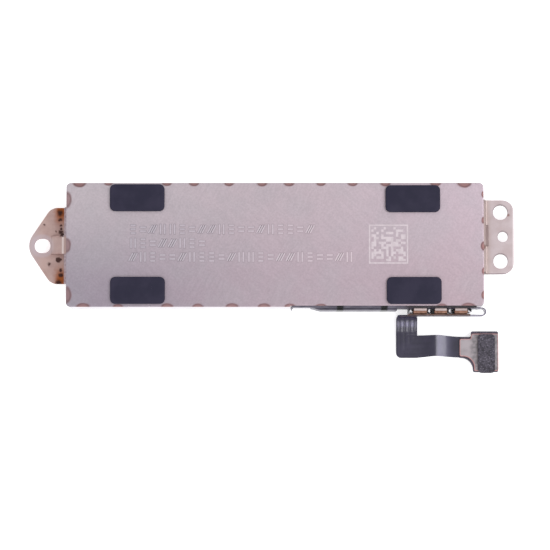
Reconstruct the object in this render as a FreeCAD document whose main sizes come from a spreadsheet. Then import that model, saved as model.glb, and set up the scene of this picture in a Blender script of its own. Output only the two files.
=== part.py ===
"""Bar-shaped linear resonant actuator (haptic motor), as a parametric assembly in millimetres.

Frame: the origin is the centre of the can's underside. +Z goes up to the cover and its pads,
+X runs along the can to the tab with two screw holes, and -Y is the side where the flex leaves.
"""
import FreeCAD
import Part
import Sketcher
import math
import os

DIMENSIONS = {
    # can and cover
    "case_length": 34.0,
    "case_width": 10.12,
    "tray_height": 3.1,
    "wall": 0.25,
    "case_corner": 0.35,
    "tray_edge_round": 0.12,
    "cover_thick": 0.3,
    "cover_edge_round": 0.05,
    "notch_size": 0.14,
    "notch_left": -11.9,
    "notch_right": -10.2,
    "relief_start": 1.2,
    "relief_deep": 0.1,
    # slot in the front wall for the flex
    "slot_start": 4.7,
    "slot_end": 9.3,
    "slot_height": 0.15,
    # bent screw tabs
    "tab_thick": 0.25,
    "tab_level": 0.85,
    "flange_top": 2.1,
    "flange_corner": 0.3,
    "bend_round": 0.22,
    "left_centre": 0.09,
    "left_half_width": 3.14,
    "left_shoulder": 1.43,
    "left_reach": 3.55,
    "left_shoulder_round": 0.95,
    "left_tip_round": 1.5,
    "slot_hole_place": 2.14,
    "slot_hole_long": 1.3,
    "slot_hole_wide": 1.17,
    "slot_hole_round": 0.56,
    "left_rib_across": 0.05,
    "left_rib_reach": 1.4,
    "left_rib_rise": 1.05,
    "left_rib_wide": 1.55,
    "right_low": -2.25,
    "right_high": 3.86,
    "right_reach": 2.66,
    "right_corner": 0.95,
    "screw_hole": 1.2,
    "screw_out": 1.56,
    "screw_rear_across": 2.84,
    "screw_front_across": -1.19,
    "locating_hole": 0.85,
    "locating_out": 1.75,
    "locating_across": 0.84,
    "right_rib_reach": 0.57,
    "right_rib_rise": 0.9,
    "right_rib_wide": 1.75,
    "right_rib_across": 0.92,
    "rib_round": 0.12,
    # foam pads on the cover
    "pad_long": 4.45,
    "pad_wide": 2.2,
    "pad_thick": 0.35,
    "pad_corner": 0.4,
    "rear_left_x": -11.22,
    "rear_left_y": 3.83,
    "front_left_x": -11.17,
    "front_left_y": -3.73,
    "rear_right_x": 11.22,
    "rear_right_y": 3.75,
    "front_right_x": 11.31,
    "front_right_y": -3.74,
    # flex circuit outside the can
    "flex_thick": 0.1,
    "flex_low": 1.0,
    "flex_high": 2.6,
    "loop_right": 17.24,
    "loop_depth": 0.69,
    "loop_round": 0.33,
    "tail_left": 9.96,
    "tail_right": 11.71,
    "tail_bend": 0.8,
    "tail_level": 0.44,
    "tail_rear": -7.27,
    "tail_front": -9.11,
    "tail_corner": 0.4,
    "low_leg_end": 10.85,
    "low_leg_top": 1.6,
    # black tape and gasket on the front wall
    "tape_start": 1.26,
    "tape_end": 10.0,
    "tape_thick": 0.06,
    "tape_low": 0.5,
    "tape_high": 2.85,
    "lip_end": 16.4,
    "lip_low": 2.65,
    "lip_thick": 0.15,
    "gasket_start": 3.8,
    "gasket_end": 9.95,
    "gasket_thick": 0.05,
    "gasket_notch_one": 5.3,
    "gasket_notch_two": 8.9,
    "gasket_notch_wide": 0.4,
    # clip, fingers and stiffener in the loop
    "stiffener_start": 10.85,
    "stiffener_end": 15.95,
    "stiffener_thick": 0.05,
    "stiffener_low": 1.1,
    "stiffener_high": 2.65,
    "clip_base_low": 1.25,
    "clip_base_thick": 0.12,
    "clip_hook_high": 2.38,
    "clip_hook_deep": 0.3,
    "finger_high": 2.5,
    "finger_round": 0.14,
    # connector head
    "head_left": 15.18,
    "head_right": 18.37,
    "head_rear": -6.92,
    "head_front": -10.28,
    "head_step": 16.12,
    "head_notch": 16.28,
    "head_notch_round": 1.0,
    "head_corner": 0.12,
    "plate_inset": 0.1,
    "plate_rear": -7.12,
    "plate_neck_rear": -7.55,
    "plate_neck_front": -8.98,
    "plate_thick": 0.2,
    "head_pad_x": 17.37,
    "head_pad_y": -8.76,
    "head_pad_long": 3.2,
    "head_pad_wide": 1.4,
    "head_pad_thick": 0.3,
    "head_pad_corner": 0.3,
    "plug_y": -8.67,
    "plug_long": 3.1,
    "plug_wide": 1.66,
    "plug_groove_long": 2.4,
    "plug_groove_wide": 0.5,
    "plug_groove_deep": 0.26,
    "contact_rows": 6,
    "contact_pitch": 0.4,
    "contact_wide": 0.18,
    "contact_thick": 0.08,
    # flex inside the can, sensor and coils
    "coil_flex_long": 19.2,
    "coil_flex_thick": 0.1,
    "coil_flex_rear": 4.3,
    "riser_wide": 1.8,
    "coil_thick": 0.37,
    "coil_long": 7.2,
    "coil_wide": 8.0,
    "coil_corner": 2.0,
    "coil_eye_long": 2.0,
    "coil_eye_wide": 2.8,
    "coil_eye_corner": 0.6,
    "sensor_long": 0.8,
    "sensor_wide": 1.2,
    "sensor_thick": 0.3,
    # moving mass
    "mass_half_long": 13.4,
    "mass_wide": 8.5,
    "mass_waist_half": 9.1,
    "mass_low": 0.47,
    "mass_high": 2.88,
    "waist_low": 0.85,
    "waist_high": 2.5,
    "mass_corner": 0.5,
    "magnet_pitch": 4.6,
    "magnet_long": 3.4,
    "magnet_wide": 6.6,
    "magnet_corner": 0.2,
    "pocket_gap": 0.05,
    # springs, their plates and the end stops
    "plate_weld_thick": 0.15,
    "leaf_thick": 0.2,
    "leaf_low": 0.65,
    "leaf_high": 2.7,
    "foot_near": 2.0,
    "foot_far": 4.2,
    "apex_reach": -4.1,
    "apex_round": 0.42,
    "foot_round": 0.5,
    "stop_long": 1.9,
    "stop_wide": 1.6,
    "stop_centre": 3.1,
    "stop_low": 0.9,
    "stop_high": 2.4,
    "stop_corner": 0.25,
}

# The pads are stuck on by hand, so each has a place of its own.
PAD_CORNERS = ("rear_left", "front_left", "rear_right", "front_right")
# Places of the four magnets, in pitches from the middle.
MAGNET_STEPS = (-1.5, -0.5, 0.5, 1.5)
# Start and end along X of each formed block and of each hook between the legs of the loop.
FINGER_SPANS = ((11.3, 12.41), (13.02, 14.04), (14.66, 15.71))
HOOK_SPANS = ((10.92, 11.2), (12.5, 12.93), (14.12, 14.56), (15.76, 15.95))

doc = FreeCAD.newDocument("haptic_motor")


def fill_sheet():
    """Put every driving dimension into its own aliased cell."""
    sheet = doc.addObject("Spreadsheet::Sheet", "dims")
    for row, (alias, value) in enumerate(DIMENSIONS.items(), start=1):
        sheet.set(f"A{row}", alias)
        sheet.set(f"B{row}", str(value))
        sheet.setAlias(f"B{row}", alias)
    doc.recompute()
    return sheet


dims = fill_sheet()


# ---------------------------------------------------------------- drawing helpers
def rectangle(x_low, x_high, y_low, y_high):
    """Corners of a rectangle, each coordinate an expression."""
    return [(x_low, y_low), (x_high, y_low), (x_high, y_high), (x_low, y_high)]


def centred(length, width):
    """Corners of a rectangle centred on the sketch's origin."""
    return rectangle(f"-({length}) / 2", f"({length}) / 2", f"-({width}) / 2", f"({width}) / 2")


def bind(sketch, constraint, name, expression):
    """Add a dimension to a sketch and drive it from the sheet."""
    index = sketch.addConstraint(constraint)
    sketch.renameConstraint(index, name)
    sketch.setExpression(f"Constraints.{name}", expression)


def add_polygon(sketch, corners):
    """A closed polygon whose corners are dimensioned from the sketch's origin."""
    count = len(corners)
    first = sketch.GeometryCount
    turn = 2 * math.pi / count
    ring = [FreeCAD.Vector(math.cos(turn * i), math.sin(turn * i), 0) for i in range(count)]
    for i in range(count):
        sketch.addGeometry(Part.LineSegment(ring[i], ring[(i + 1) % count]))
    for i in range(count):
        sketch.addConstraint(Sketcher.Constraint("Coincident", first + i, 2, first + (i + 1) % count, 1))
    for i, (x, y) in enumerate(corners):
        at_x = Sketcher.Constraint("DistanceX", -1, 1, first + i, 1, ring[i].x)
        bind(sketch, at_x, f"x{first + i}", x)
        at_y = Sketcher.Constraint("DistanceY", -1, 1, first + i, 1, ring[i].y)
        bind(sketch, at_y, f"y{first + i}", y)


def add_circle(sketch, x, y, diameter):
    """A circle dimensioned from the sketch's origin."""
    index = sketch.addGeometry(Part.Circle(FreeCAD.Vector(1, 1, 0), FreeCAD.Vector(0, 0, 1), 0.5))
    bind(sketch, Sketcher.Constraint("DistanceX", -1, 1, index, 3, 1.0), f"cx{index}", x)
    bind(sketch, Sketcher.Constraint("DistanceY", -1, 1, index, 3, 1.0), f"cy{index}", y)
    bind(sketch, Sketcher.Constraint("Diameter", index, 1.0), f"d{index}", diameter)


def new_body(label):
    """An empty body whose label is the node's name."""
    body = doc.addObject("PartDesign::Body", label)
    body.Label = label
    return body


def new_sketch(body, role="XY_Plane", lift="0", polygons=(), circles=()):
    """A sketch on one of the body's origin planes, lifted along that plane's normal."""
    sketch = body.newObject("Sketcher::SketchObject", f"{body.Name}_sketch")
    plane = next(part for part in body.Origin.OriginFeatures if part.Role == role)
    sketch.AttachmentSupport = [(plane, "")]
    sketch.MapMode = "FlatFace"
    sketch.setExpression("AttachmentOffset.Base.z", lift)
    for corners in polygons:
        add_polygon(sketch, corners)
    for x, y, diameter in circles:
        add_circle(sketch, x, y, diameter)
    return sketch


def pad(body, sketch, length):
    """Add material from a sketch, along its normal."""
    feature = body.newObject("PartDesign::Pad", f"{body.Name}_pad")
    feature.Profile = sketch
    feature.setExpression("Length", length)
    sketch.Visibility = False
    doc.recompute()
    return feature


def pocket(body, sketch, depth):
    """Cut from a sketch against its normal, and make sure that something was cut."""
    before = body.Shape.Volume
    feature = body.newObject("PartDesign::Pocket", f"{body.Name}_pocket")
    feature.Profile = sketch
    feature.setExpression("Length", depth)
    doc.recompute()
    if not feature.Shape.Volume < before:
        raise RuntimeError(f"a pocket of {body.Label} cuts nothing")
    return feature


def round_edges(body, radius, chosen):
    """Fillet the edges of the body's latest feature that the test picks."""
    base = body.Tip
    names = [f"Edge{i}" for i, edge in enumerate(base.Shape.Edges, start=1) if chosen(edge)]
    if not names:
        raise RuntimeError(f"no edge to round on {body.Label}")
    feature = body.newObject("PartDesign::Fillet", f"{body.Name}_fillet")
    feature.Base = (base, names)
    feature.setExpression("Radius", radius)
    doc.recompute()
    return feature


def place(piece, x="0", y="0", z="0", turn=0):
    """Put a piece at its place, driven from the sheet, turned about +Z."""
    piece.Placement = FreeCAD.Placement(FreeCAD.Vector(), FreeCAD.Rotation(FreeCAD.Vector(0, 0, 1), turn))
    for axis, value in zip("xyz", (x, y, z)):
        piece.setExpression(f".Placement.Base.{axis}", value)
    doc.recompute()
    return piece


def is_along(edge, axis):
    """Whether a straight edge runs along X, Y or Z."""
    if not isinstance(edge.Curve, (Part.Line, Part.LineSegment)):
        return False
    return abs(getattr(edge.tangentAt(edge.FirstParameter), axis)) > 0.999


def near(edge, **place_of):
    """Whether the middle of an edge has the given coordinates."""
    middle = edge.valueAt((edge.FirstParameter + edge.LastParameter) / 2)
    return all(abs(getattr(middle, axis) - value) < 0.01 for axis, value in place_of.items())


def upright(edge):
    return is_along(edge, "z")


def plate(label, length, width, height, corner=None):
    """A flat block centred on its own origin, with rounded upright edges if it has a corner radius."""
    body = new_body(label)
    pad(body, new_sketch(body, polygons=[centred(length, width)]), height)
    if corner:
        round_edges(body, corner, upright)
    return body


# ---------------------------------------------------------------- can, cover and pads
def make_case_tray():
    body = plate("case_tray", "dims.case_length", "dims.case_width", "dims.tray_height",
                 "dims.case_corner")
    hollow = centred("dims.case_length - 2 * dims.wall", "dims.case_width - 2 * dims.wall")
    pocket(body, new_sketch(body, lift="dims.tray_height", polygons=[hollow]),
           "dims.tray_height - dims.wall")
    round_edges(body, "dims.tray_edge_round", lambda edge: near_level(edge, 0))
    slot = rectangle("dims.slot_start", "dims.slot_end", "dims.wall", "dims.wall + dims.slot_height")
    pocket(body, new_sketch(body, "XZ_Plane", "dims.case_width / 2", [slot]), "dims.wall")
    return place(body)


def near_level(edge, level):
    """Whether a whole edge lies at one height."""
    box = edge.BoundBox
    return abs(box.ZMin - level) < 0.001 and abs(box.ZMax - level) < 0.001


def make_cover():
    body = plate("cover_plate", "dims.case_length", "dims.case_width", "dims.cover_thick",
                 "dims.case_corner")
    front = "-dims.case_width / 2"
    notches = []
    for middle in ("dims.notch_left", "dims.notch_right"):
        side = f"{middle} - dims.notch_size / 2"
        far_side = f"{middle} + dims.notch_size / 2"
        notches.append(rectangle(side, far_side, f"{front} - dims.wall", f"{front} + dims.notch_size"))
    relief = rectangle("dims.relief_start", "dims.case_length / 2 + dims.wall",
                       f"{front} - dims.wall", f"{front} + dims.relief_deep")
    pocket(body, new_sketch(body, lift="dims.cover_thick", polygons=notches + [relief]),
           "dims.cover_thick")
    outer_rim = dims.case_length / 2 - dims.case_corner
    round_edges(body, "dims.cover_edge_round",
                lambda edge: near_level(edge, dims.cover_thick) and is_rim(edge, outer_rim))
    return place(body, z="dims.tray_height")


def is_rim(edge, straight):
    """Whether an edge is one of the cover's rear, left or right rim, or a rounded corner."""
    middle = edge.valueAt((edge.FirstParameter + edge.LastParameter) / 2)
    rear = middle.y > dims.case_width / 2 - 0.01
    return rear or abs(middle.x) > straight


def make_foam_pads():
    pads = []
    for corner in PAD_CORNERS:
        body = plate(f"foam_pad_{corner}", "dims.pad_long", "dims.pad_wide", "dims.pad_thick",
                     "dims.pad_corner")
        pads.append(place(body, f"dims.{corner}_x", f"dims.{corner}_y",
                          "dims.tray_height + dims.cover_thick"))
    return pads


# ---------------------------------------------------------------- screw tabs
def bent_blank(label, low, high, reach):
    """A sheet bent to an L: a flange against the can's end wall and a tab that points outwards."""
    body = new_body(label)
    profile = [
        ("0", "dims.tab_level"),
        (reach, "dims.tab_level"),
        (reach, "dims.tab_level + dims.tab_thick"),
        ("dims.tab_thick", "dims.tab_level + dims.tab_thick"),
        ("dims.tab_thick", "dims.flange_top"),
        ("0", "dims.flange_top"),
    ]
    pad(body, new_sketch(body, "XZ_Plane", f"-({high})", [profile]), f"{high} - ({low})")
    inner = {"x": dims.tab_thick, "z": dims.tab_level + dims.tab_thick}
    round_edges(body, "dims.bend_round", lambda edge: is_along(edge, "y") and near(edge, **inner))
    outer = {"x": 0, "z": dims.tab_level}
    round_edges(body, "dims.bend_round + dims.tab_thick",
                lambda edge: is_along(edge, "y") and near(edge, **outer))
    top = dims.flange_top
    round_edges(body, "dims.flange_corner", lambda edge: is_along(edge, "x") and near(edge, z=top))
    return body


def add_rib(body, middle, wide, reach, rise):
    """A pressed stiffening rib across the bend."""
    root = "dims.tab_thick / 2"
    floor = "dims.tab_level + dims.tab_thick / 2"
    wedge = [(root, floor), (reach, floor), (reach, f"{floor} + dims.tab_thick"),
             (root, f"{floor} + {rise}")]
    pad(body, new_sketch(body, "XZ_Plane", f"-({middle} + {wide} / 2)", [wedge]), wide)
    round_edges(body, "dims.rib_round", is_sloping)


def is_sloping(edge):
    """Whether an edge is straight and slopes in the XZ plane."""
    if not isinstance(edge.Curve, (Part.Line, Part.LineSegment)):
        return False
    direction = edge.tangentAt(edge.FirstParameter)
    return abs(direction.x) > 0.1 and abs(direction.z) > 0.1


def make_left_tab():
    """The tab with a diamond outline and an oblong hole; it is drawn pointing to +X and turned."""
    half = "dims.left_half_width"
    body = bent_blank("screw_tab_left", f"-{half}", half, "dims.left_reach")
    beyond = "dims.left_reach + dims.tab_thick"
    outside = f"{half} + dims.tab_thick"
    waste = [
        ("dims.left_shoulder", half),
        ("dims.left_shoulder", outside),
        (beyond, outside),
        (beyond, f"-({outside})"),
        ("dims.left_shoulder", f"-({outside})"),
        ("dims.left_shoulder", f"-{half}"),
        ("dims.left_reach", "0"),
    ]
    above = "dims.tab_level + 2 * dims.tab_thick"
    pocket(body, new_sketch(body, lift=above, polygons=[waste]), "3 * dims.tab_thick")
    shoulder = dims.left_shoulder
    round_edges(body, "dims.left_shoulder_round", lambda edge: upright(edge) and near(edge, x=shoulder))
    reach = dims.left_reach
    round_edges(body, "dims.left_tip_round", lambda edge: upright(edge) and near(edge, x=reach, y=0))
    side = "dims.slot_hole_place - dims.slot_hole_long / 2"
    far_side = "dims.slot_hole_place + dims.slot_hole_long / 2"
    hole = rectangle(side, far_side, "-dims.slot_hole_wide / 2", "dims.slot_hole_wide / 2")
    pocket(body, new_sketch(body, lift=above, polygons=[hole]), "3 * dims.tab_thick")
    round_edges(body, "dims.slot_hole_round", is_hole_corner)
    add_rib(body, "-dims.left_rib_across", "dims.left_rib_wide", "dims.left_rib_reach",
            "dims.left_rib_rise")
    return place(body, x="-dims.case_length / 2", y="dims.left_centre", turn=180)


def is_hole_corner(edge):
    """Whether an upright edge is a corner of the oblong hole."""
    middle = edge.valueAt((edge.FirstParameter + edge.LastParameter) / 2)
    off_axis = abs(abs(middle.y) - dims.slot_hole_wide / 2) < 0.01
    off_centre = abs(abs(middle.x - dims.slot_hole_place) - dims.slot_hole_long / 2) < 0.01
    return upright(edge) and off_axis and off_centre


def make_right_tab():
    """The tab with two screw holes and a locating hole between them."""
    body = bent_blank("screw_tab_right", "dims.right_low", "dims.right_high", "dims.right_reach")
    reach = dims.right_reach
    round_edges(body, "dims.right_corner", lambda edge: upright(edge) and near(edge, x=reach))
    holes = [
        ("dims.screw_out", "dims.screw_rear_across", "dims.screw_hole"),
        ("dims.screw_out", "dims.screw_front_across", "dims.screw_hole"),
        ("dims.locating_out", "dims.locating_across", "dims.locating_hole"),
    ]
    above = "dims.tab_level + 2 * dims.tab_thick"
    pocket(body, new_sketch(body, lift=above, circles=holes), "3 * dims.tab_thick")
    add_rib(body, "dims.right_rib_across", "dims.right_rib_wide", "dims.right_rib_reach",
            "dims.right_rib_rise")
    return place(body, x="dims.case_length / 2")


# ---------------------------------------------------------------- flex outside the can
FRONT = "-dims.case_width / 2"


def make_flex_cable():
    """One flex circuit: a run on the front wall, a U loop, and a tail that bends down and turns."""
    body = new_body("flex_cable")
    add_head(body)
    add_tail(body)
    add_loop(body)
    run = rectangle("dims.slot_start", "dims.tail_left + dims.wall", f"{FRONT} - dims.flex_thick", FRONT)
    pad(body, new_sketch(body, lift="dims.wall", polygons=[run]), "dims.flex_high - dims.wall")
    tongue = rectangle("dims.slot_start", "dims.slot_end", f"{FRONT} - dims.flex_thick",
                       f"{FRONT} + dims.wall")
    pad(body, new_sketch(body, lift="dims.wall", polygons=[tongue]), "dims.flex_thick")
    return place(body)


def add_head(body):
    """The flat leg and the connector head, with a stepped rear and a concave quarter round."""
    outline = [
        ("dims.tail_right - dims.wall", "dims.tail_front"),
        ("dims.head_notch", "dims.tail_front"),
        ("dims.head_notch", "dims.head_front"),
        ("dims.head_right", "dims.head_front"),
        ("dims.head_right", "dims.head_rear"),
        ("dims.head_step", "dims.head_rear"),
        ("dims.head_step", "dims.tail_rear"),
        ("dims.tail_right - dims.wall", "dims.tail_rear"),
    ]
    pad(body, new_sketch(body, lift="dims.tail_level", polygons=[outline]), "dims.flex_thick")
    notch = {"x": dims.head_notch, "y": dims.tail_front}
    round_edges(body, "dims.head_notch_round", lambda edge: upright(edge) and near(edge, **notch))
    corners = [(dims.head_right, dims.head_front), (dims.head_right, dims.head_rear),
               (dims.head_step, dims.head_rear), (dims.head_step, dims.tail_rear),
               (dims.head_notch, dims.head_front)]
    round_edges(body, "dims.head_corner",
                lambda edge: upright(edge) and any(near(edge, x=x, y=y) for x, y in corners))


def add_tail(body):
    """The tail leaves the loop's outer leg downwards and bends flat towards the leg of the head."""
    outer_face = f"{FRONT} - dims.loop_depth"
    inner_face = f"{outer_face} + dims.flex_thick"
    top = "dims.tail_level + dims.flex_thick"
    drop = [
        (inner_face, "dims.flex_high"),
        (outer_face, "dims.flex_high"),
        (outer_face, top),
        ("dims.tail_front", top),
        ("dims.tail_front", "dims.tail_level"),
        (inner_face, "dims.tail_level"),
    ]
    pad(body, new_sketch(body, "YZ_Plane", "dims.tail_left", [drop]), "dims.tail_right - dims.tail_left")
    inner_y = -dims.case_width / 2 - dims.loop_depth
    level = dims.tail_level
    thick = dims.flex_thick
    round_edges(body, "dims.tail_bend",
                lambda edge: is_along(edge, "x") and near(edge, y=inner_y, z=level + thick))
    round_edges(body, "dims.tail_bend + dims.flex_thick",
                lambda edge: is_along(edge, "x") and near(edge, y=inner_y + thick, z=level))
    corner = {"x": dims.tail_left, "y": dims.tail_front}
    round_edges(body, "dims.tail_corner", lambda edge: upright(edge) and near(edge, **corner))


def add_loop(body):
    """The two upright legs beside the front wall and the round end that joins them."""
    height = "dims.flex_high - dims.flex_low"
    back = f"{FRONT} - dims.loop_depth"
    loop = rectangle("dims.tail_left", "dims.loop_right", back, FRONT)
    pad(body, new_sketch(body, lift="dims.flex_low", polygons=[loop]), height)
    inside = rectangle("dims.tail_left - dims.wall", "dims.loop_right - dims.flex_thick",
                       f"{back} + dims.flex_thick", f"{FRONT} - dims.flex_thick")
    pocket(body, new_sketch(body, lift="dims.flex_high", polygons=[inside]), height)
    right = dims.loop_right
    hollow = right - dims.flex_thick
    round_edges(body, "dims.loop_round - dims.flex_thick",
                lambda edge: upright(edge) and near(edge, x=hollow))
    round_edges(body, "dims.loop_round", lambda edge: upright(edge) and near(edge, x=right))
    low_part = rectangle("dims.tail_left - dims.wall", "dims.low_leg_end",
                         f"{back} - dims.wall", f"{back} + dims.wall")
    pocket(body, new_sketch(body, lift="dims.flex_high", polygons=[low_part]),
           "dims.flex_high - dims.low_leg_top")


def make_side_tape():
    """Black tape on the front wall, over the gasket, with a lip that folds over the wall's top."""
    body = new_body("side_tape")
    height = "dims.tape_high - dims.tape_low"
    hook = rectangle("dims.tape_start", "dims.tape_start + dims.tape_thick",
                     f"{FRONT} - 4 * dims.tape_thick", FRONT)
    start = rectangle("dims.tape_start", "dims.gasket_start", f"{FRONT} - 2 * dims.tape_thick", FRONT)
    over = f"{FRONT} - dims.flex_thick - dims.gasket_thick"
    outer = rectangle("dims.gasket_start - dims.tape_thick", "dims.tape_end",
                      f"{over} - dims.tape_thick", over)
    step = rectangle("dims.gasket_start - dims.tape_thick", "dims.gasket_start", over, FRONT)
    for outline in (start, hook, step, outer):
        pad(body, new_sketch(body, lift="dims.tape_low", polygons=[outline]), height)
    lip_wall = rectangle("dims.tape_start", "dims.lip_end", f"{FRONT} - dims.tape_thick", FRONT)
    pad(body, new_sketch(body, lift="dims.lip_low", polygons=[lip_wall]),
        "dims.tray_height + dims.lip_thick - dims.lip_low")
    lip = rectangle("dims.tape_start", "dims.lip_end", f"{FRONT} - dims.tape_thick",
                    f"{FRONT} + dims.relief_deep")
    pad(body, new_sketch(body, lift="dims.tray_height", polygons=[lip]), "dims.lip_thick")
    return place(body)


def make_exit_gasket():
    """Foam strip over the slot where the flex leaves, with two relief notches in its top."""
    body = new_body("exit_gasket")
    outside = f"{FRONT} - dims.flex_thick - dims.gasket_thick"
    block = rectangle("dims.gasket_start", "dims.gasket_end", outside, f"{FRONT} - dims.flex_thick")
    pad(body, new_sketch(body, lift="dims.tape_low", polygons=[block]), "dims.tape_high - dims.tape_low")
    notches = []
    for middle in ("dims.gasket_notch_one", "dims.gasket_notch_two"):
        side = f"{middle} - dims.gasket_notch_wide / 2"
        far_side = f"{middle} + dims.gasket_notch_wide / 2"
        notches.append(rectangle(side, far_side, f"{outside} - dims.wall", FRONT))
    pocket(body, new_sketch(body, lift="dims.tape_high", polygons=notches), "dims.gasket_notch_wide")
    return place(body)


def make_loop_stiffener():
    """Dark strip that backs the loop's outer leg on its inner side."""
    body = new_body("loop_stiffener")
    back = f"{FRONT} - dims.loop_depth + dims.flex_thick"
    strip = rectangle("dims.stiffener_start", "dims.stiffener_end", back,
                      f"{back} + dims.stiffener_thick")
    pad(body, new_sketch(body, lift="dims.stiffener_low", polygons=[strip]),
        "dims.stiffener_high - dims.stiffener_low")
    return place(body)


CLIP_REAR = f"{FRONT} - dims.flex_thick"
CLIP_FRONT = f"{FRONT} - dims.loop_depth + dims.flex_thick + dims.stiffener_thick"


def make_flex_clip():
    """Steel comb between the legs of the loop: a floor strip with four hooks that stand up."""
    body = new_body("flex_clip")
    floor = rectangle("dims.stiffener_start", "dims.stiffener_end", CLIP_FRONT, CLIP_REAR)
    pad(body, new_sketch(body, lift="dims.clip_base_low", polygons=[floor]), "dims.clip_base_thick")
    for start, end in HOOK_SPANS:
        hook = rectangle(str(start), str(end), CLIP_FRONT, f"{CLIP_FRONT} + dims.clip_hook_deep")
        pad(body, new_sketch(body, lift="dims.clip_base_low", polygons=[hook]),
            "dims.clip_hook_high - dims.clip_base_low")
    return place(body)


def make_ground_fingers():
    """Three formed copper-alloy blocks that bridge the loop, as one group of solids."""
    low = dims.clip_base_low + dims.clip_base_thick
    rear = -dims.case_width / 2 - dims.flex_thick
    front = -dims.case_width / 2 - dims.loop_depth + dims.flex_thick + dims.stiffener_thick
    blocks = []
    for start, end in FINGER_SPANS:
        corner = FreeCAD.Vector(start, front, low)
        block = Part.makeBox(end - start, rear - front, dims.finger_high - low, corner)
        top_rear = [edge for edge in block.Edges if near(edge, y=rear, z=dims.finger_high)]
        top_front = [edge for edge in block.Edges if near(edge, y=front, z=dims.finger_high)]
        blocks.append(block.makeFillet(dims.finger_round, top_rear + top_front))
    return feature_of("ground_fingers", Part.makeCompound(blocks))


def feature_of(label, shape, turn=0):
    """A plain feature for a shape that is worked out from the sheet's values."""
    feature = doc.addObject("Part::Feature", label)
    feature.Label = label
    feature.Shape = shape
    feature.Placement = FreeCAD.Placement(FreeCAD.Vector(), FreeCAD.Rotation(FreeCAD.Vector(0, 0, 1), turn))
    return feature


# ---------------------------------------------------------------- connector head
def make_connector_stiffener():
    """Steel backing plate with a stepped neck and a concave quarter round at its front."""
    body = new_body("connector_stiffener")
    side = "dims.head_notch + dims.plate_inset"
    front = "dims.head_front + dims.plate_inset"
    outline = [
        ("dims.head_left", "dims.plate_neck_front"),
        (side, "dims.plate_neck_front"),
        (side, front),
        ("dims.head_right", front),
        ("dims.head_right", "dims.plate_rear"),
        ("dims.head_step", "dims.plate_rear"),
        ("dims.head_step", "dims.plate_neck_rear"),
        ("dims.head_left", "dims.plate_neck_rear"),
    ]
    pad(body, new_sketch(body, polygons=[outline]), "dims.plate_thick")
    notch = {"x": dims.head_notch + dims.plate_inset, "y": dims.plate_neck_front}
    round_edges(body, "dims.head_notch_round - dims.plate_inset",
                lambda edge: upright(edge) and near(edge, **notch))
    front_y = dims.head_front + dims.plate_inset
    corners = [(dims.head_right, front_y), (dims.head_right, dims.plate_rear),
               (dims.head_step, dims.plate_rear), (dims.head_step, dims.plate_neck_rear),
               (notch["x"], front_y)]
    round_edges(body, "dims.head_corner",
                lambda edge: upright(edge) and any(near(edge, x=x, y=y) for x, y in corners))
    return place(body, z="dims.tail_level + dims.flex_thick")


def make_connector_pad():
    body = plate("connector_pad", "dims.head_pad_wide", "dims.head_pad_long", "dims.head_pad_thick",
                 "dims.head_pad_corner")
    return place(body, "dims.head_pad_x", "dims.head_pad_y",
                 "dims.tail_level + dims.flex_thick + dims.plate_thick")


def make_connector_housing():
    """Moulded plug body that faces down, with a groove for the mating socket's tongue."""
    body = plate("connector_housing", "dims.plug_wide", "dims.plug_long", "dims.tail_level",
                 "dims.flex_thick")
    groove = centred("dims.plug_groove_wide", "dims.plug_groove_long")
    pocket(body, new_sketch(body, lift="dims.plug_groove_deep", polygons=[groove]),
           "dims.plug_groove_deep")
    slots = []
    for side in (-1, 1):
        for step in contact_steps():
            middle = f"{step} * dims.contact_pitch"
            face = f"{side} * dims.plug_wide / 2"
            inner = f"{side} * (dims.plug_wide / 2 - dims.contact_thick)"
            low, high = (inner, face) if side > 0 else (face, inner)
            slots.append(rectangle(low, high, f"{middle} - dims.contact_wide / 2",
                                   f"{middle} + dims.contact_wide / 2"))
    pocket(body, new_sketch(body, lift="dims.tail_level", polygons=slots), "dims.tail_level")
    return place(body, "dims.head_pad_x", "dims.plug_y")


def contact_steps():
    """Places of the contacts in a row, in pitches from the row's middle."""
    rows = int(dims.contact_rows)
    return [row - (rows - 1) / 2 for row in range(rows)]


def make_connector_contacts():
    """Two rows of plated contacts in the housing's side slots, as one group of solids."""
    contacts = []
    for side in (-1, 1):
        for step in contact_steps():
            x = side * (dims.plug_wide - dims.contact_thick) / 2 - dims.contact_thick / 2
            y = step * dims.contact_pitch - dims.contact_wide / 2
            place_of = FreeCAD.Vector(dims.head_pad_x + x, dims.plug_y + y, 0)
            contacts.append(Part.makeBox(dims.contact_thick, dims.contact_wide, dims.tail_level, place_of))
    return feature_of("connector_contacts", Part.makeCompound(contacts))


# ---------------------------------------------------------------- flex, sensor and coils inside
def make_coil_flex_lower():
    body = new_body("coil_flex_lower")
    sheet = rectangle("-dims.coil_flex_long / 2", "dims.coil_flex_long / 2",
                      f"{FRONT} + dims.wall", "dims.coil_flex_rear")
    pad(body, new_sketch(body, polygons=[sheet]), "dims.coil_flex_thick")
    return place(body, z="dims.wall")


def make_coil_flex_upper():
    """Sheet under the cover with a riser that comes down the inside of the front wall."""
    body = new_body("coil_flex_upper")
    sheet = rectangle("-dims.coil_flex_long / 2", "dims.coil_flex_long / 2",
                      f"{FRONT} + dims.wall", "dims.coil_flex_rear")
    underside = "dims.tray_height - dims.coil_flex_thick"
    pad(body, new_sketch(body, lift=underside, polygons=[sheet]), "dims.coil_flex_thick")
    riser = rectangle("-dims.riser_wide / 2", "dims.riser_wide / 2",
                      f"{FRONT} + dims.wall", f"{FRONT} + dims.wall + dims.coil_flex_thick")
    foot = "dims.wall + dims.coil_flex_thick"
    pad(body, new_sketch(body, lift=foot, polygons=[riser]), f"{underside} - ({foot})")
    return place(body)


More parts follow.
